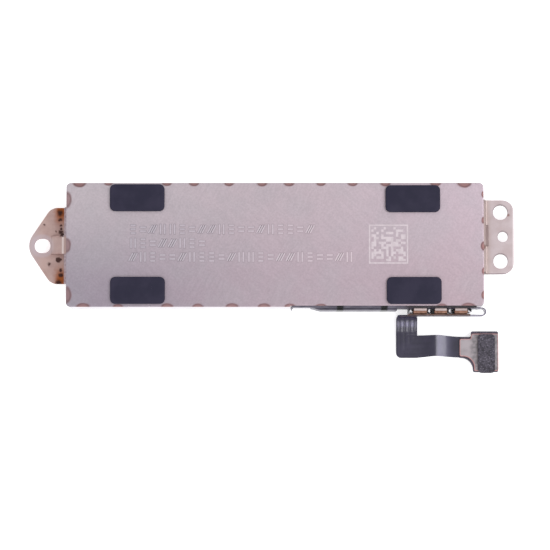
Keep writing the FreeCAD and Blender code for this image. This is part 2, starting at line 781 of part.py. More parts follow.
def make_coils():
    """Four flat racetrack coils: two on the lower flex and two under the upper flex."""
    levels = {
        "lower": "dims.wall + dims.coil_flex_thick",
        "upper": "dims.tray_height - dims.coil_flex_thick - dims.coil_thick",
    }
    coils = []
    for level, height in levels.items():
        for side, sign in (("left", "-"), ("right", "")):
            body = plate(f"coil_{level}_{side}", "dims.coil_long", "dims.coil_wide", "dims.coil_thick",
                         "dims.coil_corner")
            eye = centred("dims.coil_eye_long", "dims.coil_eye_wide")
            pocket(body, new_sketch(body, lift="dims.coil_thick", polygons=[eye]), "dims.coil_thick")
            half_eye = dims.coil_eye_long / 2
            round_edges(body, "dims.coil_eye_corner",
                        lambda edge: upright(edge) and (near(edge, x=half_eye) or near(edge, x=-half_eye)))
            coils.append(place(body, f"{sign}dims.magnet_pitch", z=height))
    return coils


def make_hall_sensor():
    body = plate("hall_sensor", "dims.sensor_long", "dims.sensor_wide", "dims.sensor_thick")
    return place(body, z="dims.wall + dims.coil_flex_thick")


# ---------------------------------------------------------------- moving mass
def make_mass_frame():
    """Heavy block with a thinner waist between the coils and four pockets for the magnets."""
    body = plate("mass_frame", "2 * dims.mass_half_long", "dims.mass_wide",
                 "dims.mass_high - dims.mass_low", "dims.mass_corner")
    waist = centred("2 * dims.mass_waist_half", "dims.mass_wide + dims.wall")
    height = "dims.mass_high - dims.mass_low"
    pocket(body, new_sketch(body, lift=height, polygons=[waist]), "dims.mass_high - dims.waist_high")
    pocket(body, new_sketch(body, lift="dims.waist_low - dims.mass_low", polygons=[waist]),
           "dims.waist_low - dims.mass_low")
    holes = []
    for step in MAGNET_STEPS:
        middle = f"{step} * dims.magnet_pitch"
        half = "(dims.magnet_long / 2 + dims.pocket_gap)"
        across = "(dims.magnet_wide / 2 + dims.pocket_gap)"
        holes.append(rectangle(f"{middle} - {half}", f"{middle} + {half}", f"-{across}", across))
    pocket(body, new_sketch(body, lift=height, polygons=holes), height)
    return place(body, z="dims.mass_low")


def make_magnets():
    magnets = []
    for number, step in enumerate(MAGNET_STEPS, start=1):
        body = plate(f"magnet_{number}", "dims.magnet_long", "dims.magnet_wide",
                     "dims.waist_high - dims.waist_low", "dims.magnet_corner")
        magnets.append(place(body, f"{step} * dims.magnet_pitch", z="dims.waist_low"))
    return magnets


# ---------------------------------------------------------------- springs and stops
def rounded_wire(points, radii):
    """Straight runs joined by tangent arcs; the first and last points have no radius."""
    edges = []
    start = points[0]
    for before, corner, after, radius in zip(points, points[1:], points[2:], radii):
        back = (before - corner).normalize()
        ahead = (after - corner).normalize()
        half = back.getAngle(ahead) / 2
        reach = radius / math.tan(half)
        middle = (back + ahead).normalize()
        middle_point = corner + middle * (radius / math.sin(half) - radius)
        arc_start = corner + back * reach
        arc_end = corner + ahead * reach
        edges.append(Part.makeLine(start, arc_start))
        edges.append(Part.Arc(arc_start, middle_point, arc_end).toShape())
        start = arc_end
    edges.append(Part.makeLine(start, points[-1]))
    return Part.Wire(edges)


def make_flexure(label, turn):
    """V-shaped leaf spring: a foot on the can's end wall, two legs, and a foot on the mass."""
    half_leaf = dims.leaf_thick / 2
    wall_x = dims.case_length / 2 - dims.wall - dims.plate_weld_thick - half_leaf
    mass_x = dims.mass_half_long + dims.plate_weld_thick + half_leaf
    middle_x = (wall_x + mass_x) / 2
    low = dims.leaf_low
    points = [
        FreeCAD.Vector(wall_x, dims.foot_far, low),
        FreeCAD.Vector(wall_x, dims.foot_near, low),
        FreeCAD.Vector(middle_x + dims.apex_round, dims.apex_reach, low),
        FreeCAD.Vector(middle_x - dims.apex_round, dims.apex_reach, low),
        FreeCAD.Vector(mass_x, dims.foot_near, low),
        FreeCAD.Vector(mass_x, dims.foot_far, low),
    ]
    apex = dims.apex_round * 0.9
    path = rounded_wire(points, [dims.foot_round, apex, apex, dims.foot_round])
    outline = path.makeOffset2D(half_leaf, join=0, openResult=False)
    leaf = Part.Face(outline).extrude(FreeCAD.Vector(0, 0, dims.leaf_high - low))
    return feature_of(label, leaf, turn)


def make_spring_plates():
    """Thin plates that weld each spring's feet to the can (anchors) and to the mass (clamps)."""
    height = "dims.leaf_high - dims.leaf_low"
    long_way = "dims.foot_far - dims.foot_near"
    plates = []
    for side, sign, turn in (("left", "-", 180), ("right", "", 0)):
        for kind, inner_face in (
            ("spring_anchor", "dims.case_length / 2 - dims.wall - dims.plate_weld_thick"),
            ("clamp_plate", "dims.mass_half_long"),
        ):
            body = plate(f"{kind}_{side}", "dims.plate_weld_thick", long_way, height)
            x = f"{sign}({inner_face} + dims.plate_weld_thick / 2)"
            y = f"{sign}(dims.foot_far + dims.foot_near) / 2"
            plates.append(place(body, x, y, "dims.leaf_low", turn))
    return plates


def make_end_stops():
    """Foam bumpers on the wall side feet of the springs; they set the travel of the mass."""
    face = "dims.case_length / 2 - dims.wall - dims.plate_weld_thick - dims.leaf_thick"
    stops = []
    for side, sign in (("left", "-"), ("right", "")):
        body = plate(f"end_stop_{side}", "dims.stop_long", "dims.stop_wide",
                     "dims.stop_high - dims.stop_low", "dims.stop_corner")
        x = f"{sign}({face} - dims.stop_long / 2)"
        stops.append(place(body, x, f"{sign}dims.stop_centre", "dims.stop_low"))
    return stops


# ---------------------------------------------------------------- assembly and output
def make_all():
    pieces = [make_case_tray(), make_cover(), make_left_tab(), make_right_tab()]
    pieces += make_foam_pads()
    pieces += [make_flex_cable(), make_side_tape(), make_exit_gasket(), make_loop_stiffener(),
               make_flex_clip(), make_ground_fingers()]
    pieces += [make_connector_stiffener(), make_connector_pad(), make_connector_housing(),
               make_connector_contacts()]
    pieces += [make_coil_flex_lower(), make_coil_flex_upper(), make_hall_sensor()]
    pieces += make_coils()
    pieces += [make_mass_frame()] + make_magnets()
    pieces += [make_flexure("flexure_right", 0), make_flexure("flexure_left", 180)]
    pieces += make_spring_plates() + make_end_stops()
    return pieces


def check(pieces):
    """Stop if any object failed or any piece has a missing or unsound shape."""
    doc.recompute()
    for item in doc.Objects:
        if "Invalid" in item.State or "Error" in item.State:
            raise RuntimeError(f"{item.Label} failed: {item.State}")
    for piece in pieces:
        if piece.Shape.isNull() or not piece.Shape.isValid():
            raise RuntimeError(f"{piece.Label} has no sound shape")


def write(pieces):
    os.makedirs("parts", exist_ok=True)
    for piece in pieces:
        piece.Shape.exportStep(os.path.join("parts", f"{piece.Label}.step"))
        box = piece.Shape.BoundBox
        print(f"{piece.Label:22} solids {len(piece.Shape.Solids)}  volume {piece.Shape.Volume:8.3f}"
              f"  x {box.XMin:7.2f} {box.XMax:7.2f}  y {box.YMin:7.2f} {box.YMax:7.2f}"
              f"  z {box.ZMin:5.2f} {box.ZMax:5.2f}")


all_pieces = make_all()
check(all_pieces)
write(all_pieces)
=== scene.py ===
"""Looks of the bar-shaped haptic motor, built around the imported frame.

Lengths are in millimetres, in the frame of the CAD model, and become metres when a mesh is made.
Colours are sRGB values from 0 to 255.
"""
import bmesh
import bpy
import math
import random
from functools import reduce
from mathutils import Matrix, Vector, noise


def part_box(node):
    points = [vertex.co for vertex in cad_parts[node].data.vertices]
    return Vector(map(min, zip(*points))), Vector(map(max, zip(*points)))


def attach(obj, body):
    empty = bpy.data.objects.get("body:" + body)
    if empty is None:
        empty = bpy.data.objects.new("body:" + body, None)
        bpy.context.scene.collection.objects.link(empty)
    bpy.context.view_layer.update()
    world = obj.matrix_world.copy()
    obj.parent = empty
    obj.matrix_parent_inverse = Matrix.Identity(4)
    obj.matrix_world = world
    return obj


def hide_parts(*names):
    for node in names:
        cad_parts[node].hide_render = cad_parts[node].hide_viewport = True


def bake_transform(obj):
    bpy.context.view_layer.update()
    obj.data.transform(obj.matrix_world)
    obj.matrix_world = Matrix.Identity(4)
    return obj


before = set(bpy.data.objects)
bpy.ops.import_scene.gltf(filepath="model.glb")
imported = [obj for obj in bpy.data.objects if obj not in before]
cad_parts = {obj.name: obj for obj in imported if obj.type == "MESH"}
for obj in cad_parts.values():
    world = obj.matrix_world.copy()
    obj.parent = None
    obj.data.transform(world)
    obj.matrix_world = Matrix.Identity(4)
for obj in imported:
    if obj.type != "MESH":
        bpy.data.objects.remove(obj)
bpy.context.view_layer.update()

MM = 0.001
SCENE = bpy.context.scene


def box_of(node):
    """Lowest and highest corner of a CAD node, in millimetres."""
    low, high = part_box(node)
    return low / MM, high / MM


COVER_LOW, COVER_HIGH = box_of("cover_plate")
FRONT = COVER_LOW.y
TOP = COVER_HIGH.z


def put(thing, **settings):
    """Set several properties at once."""
    for key, value in settings.items():
        setattr(thing, key, value)


def add_object(name, data):
    thing = bpy.data.objects.new(name, data)
    SCENE.collection.objects.link(thing)
    return thing


# ---- node materials
def linear(colour):
    """sRGB to the linear values that shaders use."""
    shares = [value / 255 for value in colour]
    return (*(share / 12.92 if share <= 0.04045 else ((share + 0.055) / 1.055) ** 2.4
              for share in shares), 1.0)


class Finish:
    """A Principled material of nodes, driven by the object's own place in millimetres."""

    def __init__(self, name, metallic=0, specular=0.5, coat=0, clear=0):
        self.material = bpy.data.materials.new(name)
        self.material.use_nodes = True
        self.tree = self.material.node_tree
        self.shader = self.tree.nodes["Principled BSDF"]
        self.feed_all(self.shader, {
            "Metallic": metallic, "Specular IOR Level": specular, "Coat Weight": coat,
            "Coat Roughness": 0.12, "Transmission Weight": clear})
        self.place = self.stretch(1 / MM, 1 / MM, 1 / MM, vector=self.add("TexCoord").outputs["Object"])

    def feed(self, socket, value):
        """Link a socket, or set it to a number, a Vector or a colour, which is a tuple."""
        if isinstance(value, bpy.types.NodeSocket):
            self.tree.links.new(value, socket)
        else:
            socket.default_value = linear(value) if isinstance(value, tuple) else value

    def feed_all(self, node, sockets):
        for key, value in sockets.items():
            self.feed(node.inputs[key], value)

    def add(self, kind, *values, sockets=None, **settings):
        """A new node, with its first inputs fed in order and others by name."""
        node = self.tree.nodes.new(f"ShaderNode{kind}")
        put(node, **settings)
        for socket, value in zip(node.inputs, values):
            self.feed(socket, value)
        self.feed_all(node, sockets or {})
        return node

    def vectors(self, operation, *values):
        return self.add("VectorMath", *values, operation=operation).outputs

    def sums(self, operation, first, second=0):
        return self.add("Math", first, second, operation=operation).outputs[0]

    def times(self, first, second):
        return self.sums("MULTIPLY", first, second)

    def plus(self, first, second):
        return self.sums("ADD", first, second)

    def largest(self, values):
        return reduce(lambda first, second: self.sums("MAXIMUM", first, second), values)

    def mask(self, value, start=0.35, end=0.65):
        """0 up to start, 1 from end on and smooth between, where end may be the lower."""
        return self.add("MapRange", value, start, end, interpolation_type="SMOOTHSTEP").outputs["Result"]

    def away(self, value, middle, start, end):
        """The same for how far the value is from a middle."""
        return self.mask(self.sums("ABSOLUTE", self.sums("SUBTRACT", value, middle)), start, end)

    def axis(self, name, vector=None):
        """One coordinate of a vector, or of the place."""
        return self.add("SeparateXYZ", vector or self.place).outputs[name]

    def along(self, name, start, end):
        return self.mask(self.axis(name), start, end)

    def uprightness(self):
        """1 on upright faces, such as a sheet's cut edges, and 0 on level ones."""
        normal = self.add("NewGeometry").outputs["True Normal"]
        return self.away(self.axis("Z", normal), 0, 0.6, 0.2)

    def stretch(self, x, y, z, turn=0, vector=None):
        """The place, turned about Z in degrees and scaled along each axis."""
        turned = self.add("Mapping", vector or self.place,
                          sockets={"Rotation": Vector((0, 0, math.radians(turn)))})
        return self.vectors("MULTIPLY", turned.outputs["Vector"], Vector((x, y, z)))[0]

    def noise(self, size, detail=2, vector=None, output="Fac"):
        """Noise whose lumps are about this many millimetres across."""
        return self.add("TexNoise", vector or self.place,
                        sockets={"Scale": 1 / size, "Detail": detail}).outputs[output]

    def ragged(self, amount, size):
        """The place, pushed about by noise."""
        centred = self.vectors("SUBTRACT", self.noise(size, output="Color"), Vector([0.5] * 3))[0]
        return self.vectors("MULTIPLY_ADD", centred, Vector([amount] * 3), self.place)[0]

    def spot(self, x, y, radius, soft, place):
        """1 inside a spot in plan and 0 outside it."""
        flat = self.vectors("MULTIPLY", place, Vector((1, 1, 0)))[0]
        far = self.vectors("DISTANCE", flat, Vector((x, y, 0)))["Value"]
        return self.mask(far, radius + soft, radius - soft)

    def attribute(self, name):
        """A value stored on the mesh's points."""
        return self.add("Attribute", attribute_name=name).outputs["Fac"]

    def blend(self, kind, share, first, second):
        node = self.add("Mix", share, data_type="RGBA", blend_type=kind)
        self.feed(node.inputs[6], first)
        self.feed(node.inputs[7], second)
        return node.outputs[2]

    def mix(self, share, first, second):
        return self.blend("MIX", share, first, second)

    def over(self, base, *layers):
        """A base colour under layers, each of a mask, a colour and a strength."""
        for share, colour, strength in layers:
            base = self.mix(self.times(share, strength), base, colour)
        return base

    def toned(self, colour, value, low, high):
        """The colour times a factor from low to high as the value goes from 0 to 1."""
        return self.blend("MULTIPLY", 1, colour, self.plus(self.times(value, high - low), low))

    def vary(self, low, high, size, detail=3):
        """A colour that drifts between two tones."""
        return self.mix(self.mask(self.noise(size, detail)), low, high)

    def spread(self, centre, width, size):
        """A value that wanders about its centre."""
        return self.plus(self.times(self.noise(size), width * 2), centre - width)

    def finish(self, colour, rough, height=None, strength=0, depth=0):
        """Connect a colour, a roughness, perhaps given as for spread, and perhaps a bump."""
        rough = self.spread(*rough) if isinstance(rough, tuple) else rough
        self.feed_all(self.shader, {"Base Color": colour, "Roughness": rough})
        if height is not None:
            bump = self.add("Bump",
                            sockets={"Strength": strength, "Distance": depth * MM, "Height": height})
            self.feed(self.shader.inputs["Normal"], bump.outputs["Normal"])
        return self.material


def brushed(name, low, high, metallic, rough, turn, grain, length):
    """Rolled or brushed metal: a drifting tone under fine streaks."""
    metal = Finish(name, metallic=metallic)
    streaks = metal.noise(1, 3, metal.stretch(1 / length, 1 / grain, 1 / grain, turn))
    colour = metal.toned(metal.vary(low, high, 1.8), metal.mask(streaks), 0.9, 1.04)
    return metal.finish(colour, (rough, 0.08, 0.7), streaks, 0.12, 0.01)


def grained(name, low, high, size, rough, wander, grain, bump, **settings):
    """A surface whose tone drifts and which has a fine grain.

    wander is the width and size of the drift in roughness, grain the size and detail of the
    bump's noise, and bump its strength and depth."""
    surface = Finish(name, **settings)
    return surface.finish(surface.vary(low, high, size), (rough, *wander), surface.noise(*grain), *bump)


def moulded(name, low, high, rough, size=0.3):
    return grained(name, low, high, size, rough, (0.07, size), (size / 4, 3), (0.2, 0.008))


def film(name, low, high, specular):
    return grained(name, low, high, 0.5, 0.38, (0.08, 0.3), (0.2, 3), (0.15, 0.01), specular=specular)


def edge_film():
    """The flex on edge along the can, and the head's border."""
    return film("flex_edge", (66, 60, 74), (88, 80, 96), 0.4)


def soft_foam():
    return grained("slate_foam", (66, 63, 74), (88, 84, 98), 0.45, 0.7, (0.08, 0.2), (0.05, 4),
                   (0.5, 0.02), specular=0.25)


def cover_finish():
    """Satin steel, greyer at the left and rosier at the right and lighter towards the rear, partly its
    own tone and partly painted light, with heat marks at its welds.
    """
    metal = Finish("cover_satin_steel", metallic=0.75)
    turning_point = 2
    # Partly painted light: each tone runs lighter from the front edge to the rear, and part of the drift
    # from left to right is painted light too.
    across = metal.along("Y", FRONT, COVER_HIGH.y)
    left = metal.mix(across, (160, 149, 162), (197, 186, 193))
    middle = metal.mix(across, (178, 161, 171), (191, 176, 184))
    right = metal.mix(across, (177, 158, 167), (192, 175, 185))
    left_half = metal.mix(metal.along("X", COVER_LOW.x, turning_point), left, middle)
    base = metal.mix(metal.along("X", turning_point, COVER_HIGH.x), left_half, right)
    cool = metal.over(base, (metal.mask(metal.noise(2.6, 3), 0.35, 0.68), (172, 170, 176), 0.22))
    grit = metal.noise(0.14, 4)
    gritty = metal.toned(cool, metal.mask(grit, 0.3, 0.7), 0.95, 1.05)
    hatch = metal.noise(1, 2, metal.stretch(0.7, 5.5, 1, 40))
    steep = metal.noise(1, 2, metal.stretch(0.8, 6.5, 1, 118))
    combed = metal.toned(gritty, metal.mask(hatch, 0.4, 0.62), 0.98, 1.02)
    crossed = metal.toned(gritty, metal.mask(steep, 0.4, 0.62), 0.975, 1.02)
    patches = metal.mask(metal.noise(3.2, 1, metal.stretch(1, 1, 1, 20)), 0.42, 0.6)
    scuffs = metal.mask(metal.noise(0.9, 5), 0.66, 0.8)
    worn = metal.toned(metal.mix(patches, combed, crossed), scuffs, 1, 0.93)
    burnt = metal.over(worn, (metal.attribute("warmth"), (148, 110, 110), 0.9),
                       (metal.attribute("burn"), (78, 60, 66), 1))
    rough = metal.plus(metal.spread(0.42, 0.05, 0.5), metal.times(hatch, 0.03))
    return metal.finish(burnt, rough, grit, 0.12, 0.006)


def pad_finish():
    foam = Finish("pad_satin_foam", specular=0.22)
    dust = foam.mask(foam.noise(0.09), 0.74, 0.82)
    colour = foam.over(foam.vary((38, 36, 56), (46, 43, 63), 1.4), (dust, (120, 118, 140), 0.35))
    return foam.finish(colour, (0.6, 0.07, 0.4), foam.noise(0.05, 4), 0.35, 0.01)


# Rust at the root of the left tab: place, radius and softness of each speck.
RUST_SPECKS = (
    (-17.70, 2.80, 0.24, 0.12), (-17.66, 2.25, 0.16, 0.08), (-17.64, 1.75, 0.10, 0.05),
    (-17.60, 1.22, 0.17, 0.07), (-17.50, 0.95, 0.20, 0.08), (-17.60, 1.50, 0.09, 0.05),
    (-17.82, -1.08, 0.22, 0.07), (-17.60, -1.02, 0.10, 0.05), (-18.58, -1.42, 0.14, 0.10),
    (-17.65, -1.90, 0.15, 0.07), (-17.63, -2.34, 0.18, 0.07), (-17.82, -2.92, 0.22, 0.12),
    (-18.02, 1.29, 0.06, 0.03), (-18.97, 1.86, 0.07, 0.05))
TAB_ROOT = box_of("screw_tab_left")[1].x
TAB_BEND = TAB_ROOT - 0.4
TAB_HOLE = (-19.14, 0.09)
RIB_START = -18.6


def left_tab_finish():
    """Rosy satin steel, paler round its hole, with a painted highlight on its rib and a painted glint
    along the bend, rust along the bend, and painted shade on its upright cut edges.
    """
    metal = Finish("left_tab_steel", metallic=0.55)
    x, y = metal.axis("X"), metal.axis("Y")
    hole_y = TAB_HOLE[1]
    ring = metal.spot(*TAB_HOLE, 0.95, 0.12, metal.place)
    # Painted highlight on the rib and a painted glint along the bend.
    rib_highlight = metal.times(metal.away(y, hole_y, 0.9, 0.45), metal.mask(x, RIB_START, RIB_START + 0.4))
    painted_glint = metal.times(metal.away(x, TAB_BEND, 0.12, 0.03), metal.away(y, hole_y, 0.85, 0.6))
    ragged = metal.ragged(0.3, 0.3)
    low, high = box_of("screw_tab_left")
    ends = metal.away(metal.axis("Y", ragged), (low.y + high.y) / 2, 1.3, 2.8)
    column = metal.mask(metal.axis("X", ragged), TAB_ROOT - 1.4, TAB_ROOT - 0.7)
    stain = metal.times(column, metal.plus(ends, 0.08))
    specks = metal.largest([metal.spot(*speck, ragged) for speck in RUST_SPECKS])
    dotted = metal.mix(metal.mask(metal.noise(0.2), 0.44, 0.56), (206, 190, 197), (178, 162, 172))
    strip = metal.times(metal.mask(x, TAB_BEND, TAB_BEND + 0.07), metal.away(y, hole_y, 0.6, 0.85))
    colour = metal.over(
        metal.vary((182, 152, 147), (196, 168, 162), 0.9),
        (metal.mask(x, TAB_ROOT - 2, TAB_ROOT - 3.2), (196, 178, 180), 1),
        (ring, (200, 186, 194), 0.5), (rib_highlight, (212, 190, 188), 0.4), (painted_glint, (244, 232, 230), 0.8),
        (stain, (166, 92, 44), 1), (specks, (62, 30, 26), 0.95), (strip, dotted, 0.85))
    # Painted shade on the upright cut edges.
    edge_shaded = metal.toned(colour, metal.uprightness(), 1, 0.8)
    grain = metal.noise(1, 3, metal.stretch(6, 20, 6, 60))
    rough = metal.plus(metal.times(stain, 0.25), 0.42)
    return metal.finish(edge_shaded, rough, metal.plus(grain, specks), 0.2, 0.012)


# Holes of the right tab: place and radius. Light falls short of the metal behind each.
RIGHT_HOLES = ((18.56, 2.84, 0.62), (18.56, -1.19, 0.62), (18.75, 0.84, 0.44))
RIGHT_SPECKS = ((19.22, 2.62, 0.10, 0.06), (19.12, 3.0, 0.06, 0.05), (17.1, -0.05, 0.18, 0.1))


def right_tab_finish():
    """Pale satin steel, warmer beside the bend, with a bright far rim, and painted shade along its front
    edge, behind its holes and on its upright cut edges.
    """
    metal = Finish("right_tab_steel", metallic=0.6)
    low = box_of("screw_tab_right")[0]
    ragged = metal.ragged(0.15, 0.2)
    specks = metal.largest([metal.spot(*speck, ragged) for speck in RIGHT_SPECKS])
    bright = metal.over(metal.vary((184, 168, 170), (193, 179, 182), 0.9),
                        (metal.along("X", low.x + 0.95, low.x + 0.4), (172, 152, 146), 0.7),
                        (specks, (120, 84, 76), 0.8),
                        (metal.along("X", low.x + 2.48, low.x + 2.62), (226, 216, 218), 0.7))
    # Painted shade along the front edge and behind each hole, and next on the upright cut edges.
    shades = [metal.along("Y", low.y + 0.12, low.y + 0.05)]
    shades += [metal.spot(x, y + 0.07, radius, 0.04, metal.place) for x, y, radius in RIGHT_HOLES]
    shaded = metal.toned(bright, metal.largest(shades), 1, 0.6)
    colour = metal.toned(shaded, metal.uprightness(), 1, 0.55)
    grain = metal.noise(1, 3, metal.stretch(12, 3, 6, 15))
    return metal.finish(colour, (0.42, 0.06, 0.4), grain, 0.12, 0.008)


def coverlay_finish():
    """Dark coverlay over traces, glossy, with painted lilac highlights at the tail's bend and on its
    hump.
    """
    lay = Finish("flex_coverlay", specular=0.42, coat=0.15)
    trace = lay.attribute("trace")
    # Painted lilac highlights on the ridges at the tail's bend and across the hump's crest.
    bend_highlight = lay.times(lay.away(lay.axis("Y"), TAIL_HIGHLIGHT, 0.35, 0.05), trace)
    crest_highlight = lay.times(lay.along("X", HUMP + 0.02, HUMP + 0.32), lay.along("X", HUMP + 1.77, HUMP + 0.37))
    colour = lay.over(lay.vary((44, 41, 60), (54, 50, 71), 1.2), (trace, (76, 70, 96), 0.3),
                      (bend_highlight, (150, 144, 182), 0.45), (crest_highlight, (136, 130, 164), 0.45))
    return lay.finish(colour, (0.3, 0.07, 0.5), lay.noise(0.3, 3), 0.12, 0.02)


# Middles of two near-black patches of painted shade on the tape, and where it darkens towards the gasket.
TAPE_SHADE_PATCHES = (5.3, 8.9)
TAPE_SHADE = (10.2, 11.0)


def tape_finish():
    tape = Finish("slate_tape", specular=0.35)
    # Painted shade: two near-black patches and a darkening towards the gasket.
    patches = tape.largest([tape.away(tape.axis("X"), x, 0.34, 0.2) for x in TAPE_SHADE_PATCHES])
    colour = tape.over(tape.vary((84, 80, 94), (106, 102, 116), 0.8),
                       (tape.along("X", *TAPE_SHADE), (46, 40, 46), 1), (patches, (3, 3, 5), 1))
    return tape.finish(colour, (0.4, 0.1, 0.5), tape.noise(0.12, 3), 0.25, 0.012)


def copper_finish():
    """Matt copper alloy, drawn and a little tarnished."""
    metal = Finish("finger_copper_alloy", metallic=0.55)
    streaks = metal.noise(1, 3, metal.stretch(3, 14, 8))
    tone = metal.vary((136, 98, 82), (164, 124, 106), 0.3, 4)
    colour = metal.toned(tone, metal.mask(streaks), 0.86, 1.05)
    return metal.finish(colour, (0.48, 0.1, 0.2), streaks, 0.3, 0.015)


def plate_finish():
    """Beige-grey plate with copper coloured sheared edges and a cloudy band of painted shade beside the
    pad.
    """
    metal = Finish("head_plate_steel", metallic=0.5)
    pad_edge = box_of("connector_pad")[0].x
    # Painted shade: a cloudy darker band beside the pad.
    cloudy = metal.mask(metal.noise(0.35), 0.85, 0.2)
    band = metal.times(metal.along("X", pad_edge - 0.75, pad_edge - 0.3), cloudy)
    colour = metal.over(metal.vary((150, 142, 146), (168, 159, 164), 0.7), (band, (112, 108, 112), 1),
                        (metal.attribute("edge"), (206, 150, 148), 0.75))
    grain = metal.noise(1, 3, metal.stretch(3, 16, 6, 20))
    return metal.finish(colour, (0.45, 0.08, 0.3), grain, 0.15, 0.01)


def head_pad_finish():
    """Dark conductive pad of crumpled, woven speckle."""
    foam = Finish("head_pad_weave", specular=0.3)
    cells = foam.add("TexVoronoi", foam.ragged(0.12, 0.15), sockets={"Scale": 5.5}).outputs[0]
    pale = foam.over(foam.vary((60, 56, 66), (84, 79, 91), 0.3),
                     (foam.mask(cells, 0.42, 0.1), (136, 130, 144), 0.55))
    colour = foam.toned(pale, foam.mask(foam.noise(0.13)), 0.6, 1.25)
    return foam.finish(colour, (0.58, 0.1, 0.1), cells, 0.7, 0.03)


def etched_finish(name, left_tone, right_tone):
    """Laser marks, which follow the cover's drift in tone from left to right, partly its own tone and
    partly painted light.
    """
    metal = Finish(name, metallic=0.6)
    base = metal.mix(metal.along("X", COVER_LOW.x, COVER_HIGH.x), left_tone, right_tone)
    coarse = metal.mask(metal.noise(0.5, 3), 0.3, 0.6)
    fine = metal.mask(metal.noise(0.1, 3), 0.3, 0.7)
    colour = metal.toned(base, metal.times(coarse, fine), 0.93, 1.03)
    return metal.finish(colour, (0.5, 0.05, 0.2), metal.noise(0.06, 3), 0.2, 0.004)


# ---- mesh helpers
def reworked(mesh, change):
    work = bmesh.new()
    work.from_mesh(mesh)
    change(work)
    work.to_mesh(mesh)
    work.free()
    return mesh


def split_large(work):
    bmesh.ops.triangulate(work, faces=[face for face in work.faces if len(face.verts) > 4])


def mesh_of(name, points, faces, attributes=None, closed=True):
    """A mesh from points in millimetres, perhaps with values stored on them."""
    mesh = bpy.data.meshes.new(name)
    mesh.from_pydata([Vector(point) * MM for point in points], [], faces)
    for key, values in (attributes or {}).items():
        mesh.attributes.new(key, "FLOAT", "POINT").data.foreach_set("value", values)
    if closed:
        reworked(mesh, lambda work: bmesh.ops.recalc_face_normals(work, faces=work.faces))
    return mesh


def make_piece(name, shape, material, node=None, body="case", sharp=35):
    """A mesh, or points and faces, as a piece that rides on a body and may stand for a CAD node."""
    mesh = shape if isinstance(shape, bpy.types.Mesh) else mesh_of(name, *shape)
    mesh.polygons.foreach_set("use_smooth", [True] * len(mesh.polygons))
    mesh.set_sharp_from_angle(angle=math.radians(sharp))
    mesh.materials.clear()
    mesh.materials.append(material)
    piece = add_object(name, mesh)
    if body:
        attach(piece, body)
    if node:
        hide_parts(node)
    return piece


def refined(name, node, bevel, material, body="case"):
    """A copy of a CAD node's mesh with its facets joined and its sharp edges bevelled."""
    def soften(work):
        bmesh.ops.remove_doubles(work, verts=work.verts, dist=0.001 * MM)
        bmesh.ops.dissolve_limit(work, angle_limit=math.radians(0.5), verts=work.verts, edges=work.edges)
        creased = [edge for edge in work.edges
                   if edge.is_manifold and edge.calc_face_angle(0) > math.radians(40)]
        bmesh.ops.bevel(work, geom=creased, offset=bevel * MM, segments=2, profile=0.5,
                        affect="EDGES", clamp_overlap=True)
        split_large(work)

    mesh = reworked(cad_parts[node].data.copy(), soften)
    return make_piece(name, mesh, material, node, body=body, sharp=10)


def numbered(rings, count):
    """Point numbers of several rings of points."""
    return [range(i * count, (i + 1) * count) for i in range(rings)]


def quads(before, after):
    """Faces between two rings of point numbers; the last face closes them."""
    count = len(before)
    return [(before[i], before[(i + 1) % count], after[(i + 1) % count], after[i]) for i in range(count)]


def loft(rings, closed=False):
    """Points and faces of a solid through rings of points, capped unless it closes on itself."""
    numbers = numbered(len(rings), len(rings[0]))
    faces = [] if closed else [tuple(numbers[0]), tuple(numbers[-1])]
    for before, after in zip(numbers, numbers[1:] + numbers[:1] if closed else numbers[1:]):
        faces += quads(before, after)
    return sum(rings, []), faces


def joined(shapes):
    points, faces = [], []
    for more_points, more_faces in shapes:
        start = len(points)
        points += more_points
        faces += [tuple(index + start for index in face) for face in more_faces]
    return points, faces


def ribbon(path, thickness, low, high, edge=0.02):
    """A strip on edge along a plan path; low and high may be lists along it."""
    half = thickness / 2
    lows, highs = [level if isinstance(level, list) else [level] * len(path) for level in (low, high)]
    around = zip(path, path[:1] + path, path[1:] + path[-1:], lows, highs)
    rings = []
    for (x, y), before, after, bottom, top in around:
        run = (Vector(after) - Vector(before)).normalized()
        section = ((-half, bottom), (half, bottom), (half, top - edge), (half - edge, top),
                   (edge - half, top), (-half, top - edge))
        rings.append([(x - run.y * across, y + run.x * across, level) for across, level in section])
    return loft(rings)


def rectangle(length, width):
    return [(length * x / 2, width * y / 2) for x, y in ((-1, -1), (1, -1), (1, 1), (-1, 1))]


def arc(x, y, radius, start, end, steps):
    """Points on an arc; angles in degrees."""
    turns = [math.radians(start + (end - start) * i / steps) for i in range(steps + 1)]
    return [(x + radius * math.cos(turn), y + radius * math.sin(turn)) for turn in turns]


def spaced(start, end, step):
    """Values from start to end, about a step apart."""
    count = max(1, round(abs(end - start) / step))
    return [start + (end - start) * i / count for i in range(count + 1)]


def run_of(start, end, steps):
    (x, y), (end_x, end_y) = start, end
    return [(x + (end_x - x) * share, y + (end_y - y) * share) for share in spaced(0, 1, 1 / steps)]


def graded(half, step, band, fine):
    """Values from -half to half, closer together in a band at each end."""
    if not band:
        return spaced(-half, half, step)
    ends = spaced(-half, band - half, fine)[:-1]
    return ends + spaced(band - half, half - band, step) + [-value for value in reversed(ends)]


def smooth(value):
    """A smooth step from 0 to 1."""
    value = min(max(value, 0), 1)
    return value * value * (3 - 2 * value)


def lumps(x, y, z=0):
    """Noise from -1 to 1, with lumps about one unit across."""
    return noise.noise(Vector((x, y, z)))


def bell(value, middle, width):
    """1 at the middle, falling away on both sides."""
    return math.exp(-((value - middle) / width) ** 2)


def outward(ring):
    """The way out, in plan, at each point of an anticlockwise ring."""
    runs = [Vector(after) - Vector(before) for before, after in zip(ring[-1:] + ring, ring[1:] + ring)]
    return [Vector((run.y, -run.x)).normalized() for run in runs]


